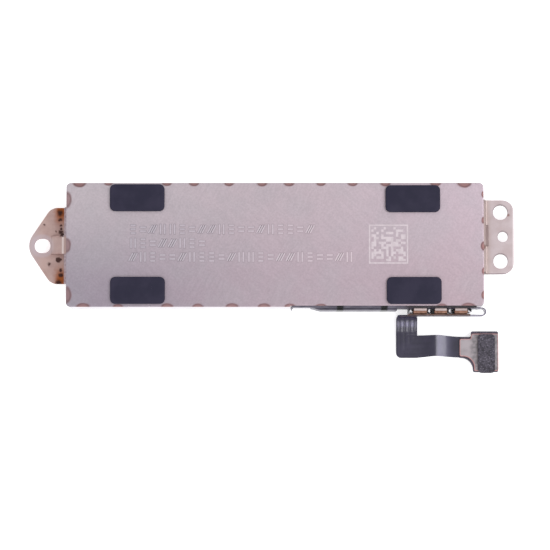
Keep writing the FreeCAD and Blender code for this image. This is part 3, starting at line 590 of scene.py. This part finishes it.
def into_corner(x, y, corner_x, corner_y, side_x, side_y, radius):
    """A point, pulled in where it is near a corner that becomes round.

    Each side is 1 or -1, the way from the plate's middle to the corner."""
    centre_x = corner_x - side_x * radius
    centre_y = corner_y - side_y * radius
    far_x = (x - centre_x) * side_x
    far_y = (y - centre_y) * side_y
    if far_x <= 0 or far_y <= 0:
        return x, y
    pull = max(far_x, far_y) / math.hypot(far_x, far_y)
    return centre_x + far_x * pull * side_x, centre_y + far_y * pull * side_y


def slab(name, low, high, corner, edge, step, top, front=lambda x: 0, values=None, extra=(), band=0,
         fine=0):
    """A plate with rounded corners and rim, on a grid fine enough to carry detail.

    front(x) moves its front edge in, top(x, y) lifts its top, and values(x, y) are stored on it."""
    middle = (low + high) / 2
    half_x = (high.x - low.x) / 2 - edge
    half_y = (high.y - low.y) / 2 - edge
    xs = sorted(graded(half_x, step, band, fine) + [x - middle.x for x in extra])
    ys = graded(half_y, step, band, fine)
    points = []
    for grid_y in ys:
        for grid_x in xs:
            side_x, side_y = math.copysign(1, grid_x), math.copysign(1, grid_y)
            x, y = into_corner(grid_x, grid_y, half_x * side_x, half_y * side_y,
                               side_x, side_y, corner - edge)
            x += middle.x
            y += middle.y + front(x) * ((half_y - y) / (2 * half_y)) ** 8
            points.append((x, y, high.z + top(x, y)))
    rows = numbered(len(ys), len(xs))
    faces = [face for before, after in zip(rows, rows[1:]) for face in quads(before, after)[:-1]]
    loop = [*rows[0], *(row[-1] for row in rows[1:-1]), *reversed(rows[-1]),
            *(row[0] for row in rows[-2:0:-1])]
    rim = [points[index] for index in loop]
    sides = outward(rim)
    turns = (math.pi / 6, math.pi / 3, math.pi / 2)
    rings = [(edge * math.sin(turn), True, edge * (math.cos(turn) - 1)) for turn in turns]
    rings += [(out, False, -shift) for out, _, shift in reversed(rings)] + [(0, False, 0)]
    previous = loop
    for out, upper, shift in rings:
        ring = range(len(points), len(points) + len(rim))
        points += [(x + side.x * out, y + side.y * out, (z if upper else low.z) + shift)
                   for (x, y, z), side in zip(rim, sides)]
        faces += quads(previous, ring)
        previous = ring
    faces.append(tuple(reversed(previous)))
    stored = {key: [worth(x, y) for x, y, _ in points] for key, worth in (values or {}).items()}
    return mesh_of(name, points, faces, stored)


# ---- cover and its marks
# For each edge of the cover: a spot weld's half length along it, depth inwards and how dark, then
# each weld's place and its size against that.
WELDS = {
    "rear": ((0.42, 0.28, 1.05), (
        (-15.93, 1.25), (-13.58, 0.8), (-8.82, 0.9), (-6.59, 0.95), (-3.74, 0.95), (-1.06, 1.0),
        (1.14, 1.0), (3.74, 0.9), (6.34, 0.95), (9.02, 1.0), (13.09, 1.0), (15.45, 1.35))),
    "front": ((0.44, 0.25, 0.95), (
        (-15.6, 1.2), (-12.76, 0.9), (-8.78, 1.1), (-6.26, 1.0), (-3.5, 1.15), (-0.9, 1.1),
        (1.22, 1.0), (3.74, 1.0), (13.58, 1.0), (15.7, 1.3))),
    "left": ((0.6, 0.38, 0.8), ((3.67, 1.1), (-0.07, 1.0), (-4.1, 1.15))),
    "right": ((0.3, 0.2, 1.3), ((4.12, 0.85), (2.0, 0.9), (-0.1, 1.2), (-2.14, 0.9), (-4.1, 1.1))),
}


def weld_reach(x, y):
    """For the nearest weld: 0 at its middle, 1 at its rim and more beyond, and how dark it is."""
    nearest = (9, 0)
    inward = {"rear": COVER_HIGH.y - y, "front": y - FRONT, "left": x - COVER_LOW.x,
              "right": COVER_HIGH.x - x}
    for edge, ((half, deep, dark), welds) in WELDS.items():
        if inward[edge] > 2 * deep:
            continue
        for place, size in welds:
            along = (x if edge in ("rear", "front") else y) - place
            reach = math.hypot(along / (half * size), inward[edge] / (deep * size))
            nearest = min(nearest, (reach, dark))
    return nearest


def weld_warmth(x, y):
    reach, dark = weld_reach(x, y)
    return dark * smooth((1.2 + 0.12 * lumps(x * 2.3, y * 2.3) - reach) / 0.35)


def weld_burn(x, y):
    reach, dark = weld_reach(x, y)
    return dark * 0.5 * bell(reach, 0.85, 0.16)


def cover_level(x, y):
    """Very slight unevenness of the sheet, with a dimple at each weld."""
    return 0.003 * lumps(x * 0.25, y * 0.3, 1.7) - 0.006 * smooth((1.1 - weld_reach(x, y)[0]) / 0.8)


NOTCHES = (-11.9, -10.2)
NOTCH_HALF = 0.07
NOTCH_DEEP = 0.14
RELIEF_START = 1.2
RELIEF_DEEP = 0.1


def cover_front(x):
    """How far the front edge stands back: two notches and a long relief for the tape."""
    if any(abs(x - middle) < NOTCH_HALF for middle in NOTCHES):
        return NOTCH_DEEP
    return RELIEF_DEEP * smooth((x - RELIEF_START) / 0.15 + 0.5)


def make_cover():
    """The cover, with grid lines just inside and outside each side of a notch."""
    lines = [middle + side * (NOTCH_HALF + away) for middle in NOTCHES
             for side in (-1, 1) for away in (-0.01, 0.01)]
    mesh = slab("cover_sheet", COVER_LOW, COVER_HIGH, corner=0.35, edge=0.05, step=0.1,
                top=cover_level, front=cover_front, values={"warmth": weld_warmth, "burn": weld_burn},
                extra=lines, band=0.6, fine=0.05)
    make_piece("cover_sheet", mesh, cover_finish(), "cover_plate", sharp=50)


BAR_THICK = 0.02


def thin_bar(x, y, length, width, turn, level):
    cos, sin = math.cos(turn), math.sin(turn)
    flat = [(x + a * cos - b * sin, y + a * sin + b * cos) for a, b in rectangle(length, width)]
    return loft([[(a, b, height) for a, b in flat] for height in (level - BAR_THICK, level)])


# Rows of plain marks that stand where the maker's lettering was: start, end and middle height.
MARK_ROWS = ((-11.95, 3.7, 1.27), (-11.95, -4.9, 0.13), (-11.95, 6.7, -1.0))
MARK_PITCH = 0.8
MARK_HIGH = 0.8
STROKE = 0.12
OUTLINE = 0.07


def mark(kind, x, y, swell):
    """One abstract mark: three dashes, two bars, three slanted bars or two dashes."""
    high = MARK_HIGH
    strokes = (
        [(x, y + step * high * 0.4, 0.42, 0) for step in (-1, 0, 1)],
        [(x + step * 0.17, y, high, math.pi / 2) for step in (-1, 1)],
        [(x + step * 0.18, y, high * 0.9, math.radians(62)) for step in (-1, 0, 1)],
        [(x, y + step * high * 0.2, 0.5, 0) for step in (-1, 1)])[kind]
    return [(a, b, length + swell, STROKE + swell, turn) for a, b, length, turn in strokes]


def make_marks():
    """Pale strokes, each inside a slightly wider one that is darker as painted shade round the stroke."""
    # The lower, wider layer is darker as painted shade round each stroke.
    layers = (("cover_mark_shade_edges", (150, 140, 150), (180, 160, 168), OUTLINE, 0.006),
              ("cover_marks", (190, 182, 192), (216, 199, 206), 0, 0.011))
    for name, left_tone, right_tone, swell, height in layers:
        bars = []
        for row, (start, end, y) in enumerate(MARK_ROWS):
            for i in range(int((end - start) / MARK_PITCH)):
                strokes = mark((i * 3 + row + i // 4) % 4, start + (i + 0.5) * MARK_PITCH, y, swell)
                bars += [thin_bar(*stroke, TOP + height) for stroke in strokes]
        make_piece(name, joined(bars), etched_finish(name, left_tone, right_tone))


CODE_LOW = Vector((7.64, -1.55))
CODE_CELLS = 16
CODE_CELL = 0.2
CODE_FRAME = 0.12
CODE_FILL = 0.56


def make_code_patch():
    """A frosted square of random cells inside a closed border; it holds no data."""
    dice = random.Random(5)
    span = CODE_CELLS * CODE_CELL
    middle = CODE_LOW + Vector((span / 2, span / 2))
    level = TOP + 0.01
    bars = []
    for side in (-1, 1):
        away = side * (span - CODE_FRAME) / 2
        bars.append(thin_bar(middle.x, middle.y + away, span, CODE_FRAME, 0, level))
        bars.append(thin_bar(middle.x + away, middle.y, CODE_FRAME, span - 2 * CODE_FRAME, 0, level))
    centres = [(i + 0.5) * CODE_CELL for i in range(1, CODE_CELLS - 1)]
    bars += [thin_bar(CODE_LOW.x + x, CODE_LOW.y + y, CODE_CELL, CODE_CELL, 0, level)
             for y in centres for x in centres if dice.random() < CODE_FILL]
    frosted = grained("frosted_steel", (201, 189, 195), (212, 200, 206), 0.3, 0.6, (0.06, 0.2),
                      (0.06, 3), (0.2, 0.004), metallic=0.35)
    make_piece("cover_code_patch", joined(bars), frosted)


def make_pads():
    material = pad_finish()
    for place in ("rear_left", "front_left", "rear_right", "front_right"):
        node = f"foam_pad_{place}"
        low, high = box_of(node)
        middle, half = (low + high) / 2, (high - low) / 2

        def crown(x, y):
            away = max(abs(x - middle.x) / half.x, abs(y - middle.y) / half.y)
            return 0.006 * lumps(x * 1.4, y * 1.4, 0.3) - 0.03 * smooth((away - 0.55) / 0.45)

        mesh = slab(node, low, high, corner=0.42, edge=0.07, step=0.14, top=crown)
        piece = make_piece(f"{node}_foam", mesh, material, node, sharp=60)


# ---- flex circuit
TAIL_LEFT = 9.96
TAIL_RIGHT = 11.71
TAIL_LEVEL = 0.54
TAIL_HIGHLIGHT = -6.35
LEG_REAR = -7.27
LEG_FRONT = -9.11
LEG_END = 15.3
HUMP = 13.13
LOOP_REAR = FRONT - 0.05
LOOP_FRONT = FRONT - 0.64
LOOP_LOW = 1
LOOP_TOP = 2.55
LOOP_START = 15.95
LOOP_END = 17.19
WALL_START = 4.75
STRIP_THICK = 0.09
RIDGE_FIRST = 0.29
RIDGE_PITCH = 0.235
RIDGE_HIGH = 0.022
# The tail's round corners: place, the way in which each lies, and radius.
TAIL_CORNERS = ((TAIL_LEFT, LOOP_FRONT, -1, 1, 0.28), (TAIL_RIGHT, LOOP_FRONT, 1, 1, 0.28),
                (TAIL_LEFT, LEG_FRONT, -1, -1, 0.42))


def ridge(share):
    """Height of the coverlay over the traces, at a share of the way across."""
    wave = abs(math.cos(math.pi * (share - RIDGE_FIRST) / RIDGE_PITCH))
    return wave * smooth(share / 0.14) * smooth((1 - share) / 0.1)


def drop_level(y):
    """The tail leaves the loop steeply, slopes gently and lies flat."""
    down = LOOP_FRONT - y
    left = 1.3 - down
    slope = 0.135 * (left + math.hypot(left, 0.12))
    return TAIL_LEVEL + 0.6 * math.exp(-down / 0.1) + slope


def leg_edges(x):
    """Front and rear edge of the leg, which waver a little."""
    share = (x - TAIL_RIGHT) / (LEG_END - TAIL_RIGHT)
    rise = bell(x, 13.3, 1.1)
    rear = LEG_REAR + 0.05 * rise - 0.1 * smooth((share - 0.4) / 0.6)
    return LEG_FRONT + 0.14 * rise + 0.03 * share, rear


def leg_share(y):
    """0 at the leg's front edge, 1 at its rear edge and more behind it."""
    return (y - LEG_FRONT) / (LEG_REAR - LEG_FRONT)


def make_flex_tail():
    """Down from the loop, flat, round the corner and over a low hump to the head."""
    shares = spaced(0, 1, 1 / 56)
    corner_rows = spaced(LEG_REAR, LEG_FRONT, 0.04)
    rows = spaced(LOOP_FRONT, LEG_REAR, 0.05) + corner_rows[1:]
    points, traces = [], []
    for y in rows:
        calm = 0.35 + 0.65 * smooth((y - LEG_REAR) / 0.5)
        fade = smooth((LOOP_FRONT - 0.25 - y) / 0.2)
        for share in shares:
            lift = calm * ridge(min(share, leg_share(y)))
            crease = 0.02 * bell(y, LEG_REAR + 0.02, 0.05) * smooth((share - 0.45) / 0.1)
            place = (TAIL_LEFT + (TAIL_RIGHT - TAIL_LEFT) * share, y)
            for corner in TAIL_CORNERS:
                place = into_corner(*place, *corner)
            points.append((*place, drop_level(y) + RIDGE_HIGH * lift * fade - crease))
            traces.append(lift)
    width = len(shares)
    faces = [(i, i + width, i + width + 1, i + 1) for i in range(len(points) - width) if (i + 1) % width]
    previous = range(width * (len(rows) - len(corner_rows) + 1) - 1, len(points), width)
    for x in spaced(TAIL_RIGHT, LEG_END, 0.06)[1:]:
        front, rear = leg_edges(x)
        column = range(len(points), len(points) + len(corner_rows))
        for share in map(leg_share, corner_rows):
            lift = 0.35 * ridge(share) * smooth((13 - x) / 1.2)
            level = TAIL_LEVEL + RIDGE_HIGH * lift + 0.215 * bell(x, HUMP, 0.63)
            points.append((x, front + (rear - front) * share, level))
            traces.append(lift)
        faces += quads(previous, column)[:-1]
        previous = column
    mesh = mesh_of("flex_tail", points, faces, {"trace": traces}, False)
    piece = make_piece("flex_tail", mesh, coverlay_finish(), "flex_cable")
    put(piece.modifiers.new("thickness", "SOLIDIFY"), thickness=STRIP_THICK * MM, offset=-1)
    put(piece.modifiers.new("edge", "BEVEL"), width=0.02 * MM, segments=2, limit_method="ANGLE",
        angle_limit=math.radians(60))


RIM_BAND = 0.06


def outline_plate(name, outline, low, high, edge, rim_value=None):
    """A flat plate with a bevelled rim, which a value of 1 may mark."""
    sides = outward(outline)
    levels = ((edge, low), (0, low + edge), (0, high - edge), (edge, high), (edge + RIM_BAND, high))
    rings = [[(*(point - side * inset), level) for point, side in zip(outline, sides)]
             for inset, level in levels]
    rims = [1.0] * (4 * len(outline)) + [0.0] * len(outline)
    return reworked(mesh_of(name, *loft(rings), {rim_value: rims} if rim_value else None), split_large)


HEAD_LEFT = 15.18
HEAD_RIGHT = 18.37
HEAD_STEP = 16.12
HEAD_NOTCH = 16.28
HEAD_REAR = -6.92
HEAD_FRONT = -10.28
PLATE_NECK_REAR = -7.55
PLATE_NECK_FRONT = -8.98


def head_outline(notch, right, front, rear, neck_front, neck_rear, radii):
    """From the front of the head's neck round to the rear, with rounded corners."""
    corners = [Vector(place) for place in (
        (HEAD_LEFT, neck_front), (notch, neck_front), (notch, front), (right, front),
        (right, rear), (HEAD_STEP, rear), (HEAD_STEP, neck_rear), (HEAD_LEFT, neck_rear))]
    outline = []
    for here, before, after, radius in zip(corners, corners[-1:] + corners, corners[1:] + corners, radii):
        back = (before - here).normalized() * radius
        ahead = (after - here).normalized() * radius
        turns = spaced(0, math.pi / 2, math.pi / 16) if radius else [0]
        outline += [here + back * (1 - math.sin(turn)) + ahead * (1 - math.cos(turn)) for turn in turns]
    return outline


def make_flex_head():
    """The flex under the plate: a dark border at the rear and round the notch."""
    outline = head_outline(HEAD_NOTCH, HEAD_RIGHT, HEAD_FRONT, HEAD_REAR, LEG_FRONT, LEG_REAR - 0.1,
                           (0, 1, 0.12, 0.14, 0.12, 0.14, 0.12, 0))
    mesh = outline_plate("flex_head", outline, TAIL_LEVEL - 0.1, TAIL_LEVEL, 0.02)
    make_piece("flex_head", mesh, edge_film())


def make_head_plate():
    """Backing plate, inset from the flex, with copper coloured sheared edges."""
    low, high = box_of("connector_stiffener")
    outline = head_outline(HEAD_NOTCH + 0.1, high.x, low.y, high.y, PLATE_NECK_FRONT, PLATE_NECK_REAR,
                           (0.15, 0.9, 0.1, 0.14, 0.12, 0.2, 0.15, 0.15))
    mesh = outline_plate("head_plate", outline, low.z, high.z, 0.03, "edge")
    make_piece("head_plate", mesh, plate_finish(), "connector_stiffener")


def make_head_pad():
    def crumple(x, y):
        return 0.035 * lumps(x * 7, y * 7, 0.2) + 0.02 * lumps(x * 16.1, y * 16.1, 0.46) - 0.02

    mesh = slab("head_pad", *box_of("connector_pad"), corner=0.32, edge=0.07, step=0.05, top=crumple)
    piece = make_piece("head_pad", mesh, head_pad_finish(), "connector_pad", sharp=70)


def make_loop():
    """The flex on edge: along the can's wall, round the open loop and back to the tail."""
    wall = run_of((WALL_START, LOOP_REAR), (LOOP_START, LOOP_REAR), 40)
    low = [0.3 if x < TAIL_LEFT else LOOP_LOW for x, _ in wall]
    shape = ribbon(wall, STRIP_THICK, low, LOOP_TOP)
    make_piece("flex_wall_run", shape, edge_film())
    radius = (LOOP_REAR - LOOP_FRONT) / 2
    bend = run_of((LOOP_START, LOOP_REAR), (LOOP_END - radius, LOOP_REAR), 8)[:-1]
    bend += arc(LOOP_END - radius, (LOOP_REAR + LOOP_FRONT) / 2, radius, 90, -90, 24)
    bend += run_of((LOOP_END - radius, LOOP_FRONT), (LOOP_START, LOOP_FRONT), 8)[1:]
    pale = grained("flex_bend_film", (146, 140, 160), (166, 160, 180), 0.5, 0.3, (0.08, 0.3), (0.15, 3),
                   (0.1, 0.01), clear=0.35)
    make_piece("flex_loop_bend", ribbon(bend, 0.1, LOOP_LOW, LOOP_TOP, 0.015), pale)
    leg = run_of((LOOP_START, LOOP_FRONT), (TAIL_LEFT + 0.28, LOOP_FRONT), 60)
    tops = [LOOP_TOP if x > 10.85 else drop_level(LOOP_FRONT) - 0.1 for x, _ in leg]
    brown = film("flex_leg_film", (70, 56, 60), (96, 80, 84), 0.35)
    make_piece("flex_outer_leg", ribbon(leg, STRIP_THICK, LOOP_LOW, tops), brown)


# ---- tape, gasket, fingers and clip
def wall_band(xs, inner, outer, low, high, edge):
    """A band on the front wall, whose outer face is at outer(x), chamfered at its top."""
    return loft([[(x, inner, low), (x, inner, high(x)), (x, outer(x) + edge, high(x)),
                  (x, outer(x), high(x) - edge), (x, outer(x), low)] for x in xs])


def make_tape():
    """A lip along the cover, a curled start, and a skin over the gasket."""
    material = tape_finish()
    low, high = box_of("side_tape")
    gasket_low, gasket_high = box_of("exit_gasket")
    skin_start = gasket_low.x - 0.9

    def skin_face(x):
        rise = smooth((x - skin_start) / 0.9)
        return FRONT - 0.06 + (low.y - FRONT + 0.06) * rise + 0.01 * lumps(x * 1.5, 3)

    lip = wall_band(spaced(low.x + 0.1, high.x, 0.15), FRONT + 0.09,
                    lambda x: FRONT - 0.05 + 0.012 * lumps(x * 1.3, 5), 2.66,
                    lambda x: high.z - 0.03 + 0.02 * lumps(x, 0), 0.04)
    curl = ribbon(arc(low.x + 0.15, FRONT - 0.12, 0.1, 60, 240, 10), 0.06, 0.6, 3.1, 0.015)
    make_piece("tape_lip", joined([lip, curl]), material, "side_tape")
    skin = wall_band(spaced(skin_start, gasket_high.x, 0.12), FRONT - 0.02, skin_face, low.z,
                     lambda x: gasket_high.z - 0.02, 0.03)
    make_piece("tape_skin", skin, material)


# Spring hooks between the copper blocks, seen from above: centre, radius, start and end angle.
HOOKS = ((11.14, 0.07, 130, 300), (12.64, 0.08, 85, 275), (14.32, 0.08, 80, 270), (15.87, 0.06, 150, 330))
# Near-black pegs of painted shadow beside the hooks: centre, width and how far forward they reach.
SHADOW_PEGS = ((10.98, 0.07, 0.16), (12.9, 0.17, 0.36), (14.62, 0.12, 0.3), (15.98, 0.14, 0.22))
HOOK_LINE = FRONT - 0.27
SHADOW_PEG_REAR = FRONT - 0.12


def make_clip():
    steel = brushed("clip_bright_steel", (236, 234, 240), (248, 246, 250), 0.3, 0.35, 0, 0.08, 0.4)
    low, high = box_of("flex_clip")
    middle = (low.y + high.y) / 2
    shapes = [ribbon(arc(x, HOOK_LINE, radius, start, end, 14), 0.15, low.z + 0.1, high.z + 0.1, 0.03)
              for x, radius, start, end in HOOKS]
    floor = run_of((low.x, middle), (high.x, middle), 12)
    shapes.append(ribbon(floor, high.y - low.y - 0.02, low.z, low.z + 0.12, 0.03))
    make_piece("flex_clip_hooks", joined(shapes), steel, "flex_clip")
    # The pegs are near-black as painted shadow beside each hook.
    dark = moulded("peg_painted_shadow", (24, 24, 30), (40, 40, 48), 0.45, 0.2)
    pegs = [ribbon(run_of((x, SHADOW_PEG_REAR), (x, SHADOW_PEG_REAR - reach), 4), wide, low.z + 0.12, high.z, 0.04)
            for x, wide, reach in SHADOW_PEGS]
    make_piece("clip_shadow_pegs", joined(pegs), dark)


# Start and end of each copper block.
FINGERS = ((11.3, 12.41), (13.02, 14.04), (14.66, 15.71))


def make_finger_rims():
    """The turned-up rear edge of each copper block, pale with painted highlight."""
    rim_highlight = brushed("finger_edge_highlight", (196, 176, 174), (214, 196, 194), 0.3, 0.4, 0, 0.1, 0.5)
    high = box_of("ground_fingers")[1]
    line = high.y - 0.07
    rims = [ribbon(run_of((start + 0.04, line), (end - 0.04, line), 8), 0.2, high.z - 0.3,
                   high.z + 0.2, 0.03) for start, end in FINGERS]
    make_piece("finger_rims", joined(rims), rim_highlight)


# ---- inside the can
# A leaf spring's foot runs from its end to its knee, and its two legs meet at its apex.
FOOT_END = 4.2
FOOT_KNEE = 2.3
APEX = -3.9
APEX_HALF = 0.36
APEX_DEEP = 0.3


def flexure_path(wall_x, mass_x, side):
    """Plan path of a V-shaped leaf spring, foot to foot."""
    middle = (wall_x + mass_x) / 2
    end, knee, apex = FOOT_END * side, FOOT_KNEE * side, APEX * side
    half = math.copysign(APEX_HALF, wall_x - mass_x)
    shares = spaced(0, 1, 1 / 16)
    path = run_of((wall_x, end), (wall_x, knee), 6)
    path += [(wall_x + (middle + half - wall_x) * smooth(share) ** 0.9, knee + (apex - knee) * share)
             for share in shares[1:]]
    path += [(middle + half * math.cos(turn), apex - APEX_DEEP * side * math.sin(turn))
             for turn in spaced(0, math.pi, math.pi / 10)[1:-1]]
    path += [(middle - half + (mass_x - middle + half) * (1 - smooth(1 - share) ** 0.9),
              apex + (knee - apex) * share) for share in shares]
    return path + run_of((mass_x, knee), (mass_x, end), 6)[1:]


def make_flexures():
    """Leaf springs, each with one foot on the can and the other on the mass."""
    steel = brushed("spring_rolled_steel", (168, 168, 174), (190, 190, 196), 0.9, 0.3, 90, 0.05, 2)
    for side, node in ((1, "flexure_right"), (-1, "flexure_left")):
        low, high = box_of(node)
        wall_x, mass_x = (high.x - 0.1, low.x + 0.1) if side > 0 else (low.x + 0.1, high.x - 0.1)
        shape = ribbon(flexure_path(wall_x, mass_x, side), 0.19, low.z, high.z, 0.03)
        piece = make_piece(f"{node}_leaf", shape, steel, node, body=None)
        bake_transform(piece)


COIL_TURNS = 16
COIL_AROUND = 96
EYE_LONG = 1
EYE_WIDE = 1.4
TURN_HIGH = 0.03


def squared(value, share):
    """A circle's sine or cosine made into a racetrack's, less so further out."""
    return math.copysign(abs(value) ** (0.28 + 0.12 * share), value)


def make_coils():
    """Racetrack windings: each layer's turns show as ridges round the eye."""
    copper = grained("enamelled_copper", (176, 98, 60), (204, 126, 82), 0.5, 0.3, (0.06, 0.3), (0.08, 2),
                     (0.15, 0.01), metallic=0.8, coat=0.4)
    shares = spaced(0, 1, 1 / (4 * COIL_TURNS))
    profile = [(share, 1) for share in shares] + [(share, -1) for share in reversed(shares)]
    for node in (f"coil_{level}_{side}" for level in ("lower", "upper") for side in ("left", "right")):
        low, high = box_of(node)
        middle, half = (low + high) / 2, (high - low) / 2
        rings = []
        for turn in spaced(0, 2 * math.pi, 2 * math.pi / COIL_AROUND)[:-1]:
            ring = []
            for share, face in profile:
                long = EYE_LONG + (half.x - EYE_LONG) * share
                wide = EYE_WIDE + (half.y - EYE_WIDE) * share
                bump = TURN_HIGH * (abs(math.sin(math.pi * COIL_TURNS * share)) - 1)
                ring.append((middle.x + long * squared(math.cos(turn), share),
                             middle.y + wide * squared(math.sin(turn), share),
                             middle.z + face * (half.z + bump)))
            rings.append(ring)
        make_piece(f"{node}_winding", loft(rings, closed=True), copper, node, sharp=80)


# ---- CAD nodes with finer edges
def make_refined():
    """Pieces whose CAD shape is right, with bevelled edges."""
    can = brushed("can_bright_steel", (204, 200, 205), (210, 206, 211), 0.8, 0.32, 0, 0.05, 3)
    laminate = grained("stiffener_laminate", (112, 86, 78), (138, 108, 98), 0.5, 0.42, (0.1, 0.3),
                       (0.15, 3), (0.15, 0.01), specular=0.3)
    gold = brushed("contact_gold_plate", (206, 164, 92), (226, 186, 116), 0.95, 0.28, 90, 0.05, 0.5)
    amber = moulded("amber_film", (150, 86, 34), (176, 106, 46), 0.32, 0.8)
    tungsten = brushed("tungsten_alloy", (108, 108, 112), (130, 130, 134), 0.8, 0.42, 0, 0.08, 0.8)
    nickel = brushed("magnet_nickel_plate", (190, 188, 182), (208, 206, 200), 0.95, 0.22, 90, 0.2, 1)
    spring = brushed("plate_steel", (170, 170, 176), (192, 192, 198), 0.9, 0.32, 0, 0.05, 1)
    refined("can_tray", "case_tray", 0.03, can)
    refined("left_tab_sheet", "screw_tab_left", 0.035, left_tab_finish())
    refined("right_tab_sheet", "screw_tab_right", 0.035, right_tab_finish())
    refined("gasket_foam_block", "exit_gasket", 0.03, soft_foam())
    refined("finger_blocks", "ground_fingers", 0.03, copper_finish())
    refined("loop_backing", "loop_stiffener", 0.02, laminate)
    refined("plug_housing", "connector_housing", 0.02,
            moulded("connector_lcp", (30, 30, 32), (44, 44, 46), 0.5))
    refined("plug_contacts", "connector_contacts", 0.015, gold)
    for level in ("lower", "upper"):
        refined(f"coil_film_{level}", f"coil_flex_{level}", 0.01, amber)
    refined("hall_chip", "hall_sensor", 0.03, moulded("chip_black", (28, 28, 30), (42, 42, 44), 0.4))
    refined("mass_block", "mass_frame", 0.06, tungsten, "mass")
    for number in range(1, 5):
        refined(f"magnet_{number}_plated", f"magnet_{number}", 0.08, nickel, "mass")
    foam = soft_foam()
    for side in ("left", "right"):
        refined(f"anchor_{side}_plate", f"spring_anchor_{side}", 0.03, spring)
        refined(f"clamp_{side}_plate", f"clamp_plate_{side}", 0.03, spring, "mass")
        refined(f"end_stop_{side}_foam", f"end_stop_{side}", 0.08, foam)


# ---- stage, light and camera
def make_stage():
    """A pale table lit a little from within, like a light box."""
    table = Finish("pale_table", specular=0.1)
    table.feed_all(table.shader, {"Emission Color": (255, 255, 255), "Emission Strength": 0.55})
    material = table.finish(table.vary((238, 238, 240), (246, 246, 247), 40), (0.6, 0.05, 10))
    span, level = 800, -0.02
    mesh = mesh_of("table", [(x, y, level) for x, y in rectangle(span, span)], [(0, 1, 2, 3)])
    mesh.materials.append(material)
    add_object("table", mesh)


def add_light(name, place, wide, deep, brightness):
    """A soft box, wide along X and deep along Y, that faces the part."""
    lamp = bpy.data.lights.new(name, "AREA")
    put(lamp, shape="RECTANGLE", size=wide * MM, size_y=deep * MM,
        energy=brightness * math.pi * wide * deep * MM * MM)
    turn = (-Vector(place)).to_track_quat("-Z", "Y").to_euler()
    put(add_object(name, lamp), location=Vector(place) * MM, rotation_euler=turn)


def make_light():
    """A white room and two soft boxes, one at the right and one in front."""
    world = bpy.data.worlds.new("studio")
    world.use_nodes = True
    background = world.node_tree.nodes["Background"]
    background.inputs["Color"].default_value = (1, 1, 1, 1)
    background.inputs["Strength"].default_value = 0.72
    SCENE.world = world
    add_light("right_box", (195, 6, 300), 60, 200, 9)
    add_light("front_box", (30, -165, 300), 110, 55, 9)
    SCENE.view_settings.view_transform = "Standard"


def make_camera():
    """Nearly straight down, from a little in front."""
    lens = bpy.data.cameras.new("camera")
    put(lens, lens=161, sensor_width=36, clip_start=0.001, clip_end=10)
    camera = add_object("camera", lens)
    tilt = math.radians(4)
    target = Vector((0, -2.47, TOP))
    distance = 200
    camera.location = (target + distance * Vector((0, -math.sin(tilt), math.cos(tilt)))) * MM
    camera.rotation_euler = (tilt, 0, 0)
    SCENE.camera = camera


make_cover()
make_marks()
make_code_patch()
make_pads()
make_flex_tail()
make_flex_head()
make_head_plate()
make_head_pad()
make_loop()
make_tape()
make_clip()
make_finger_rims()
make_flexures()
make_coils()
make_refined()
make_stage()
make_light()
make_camera()
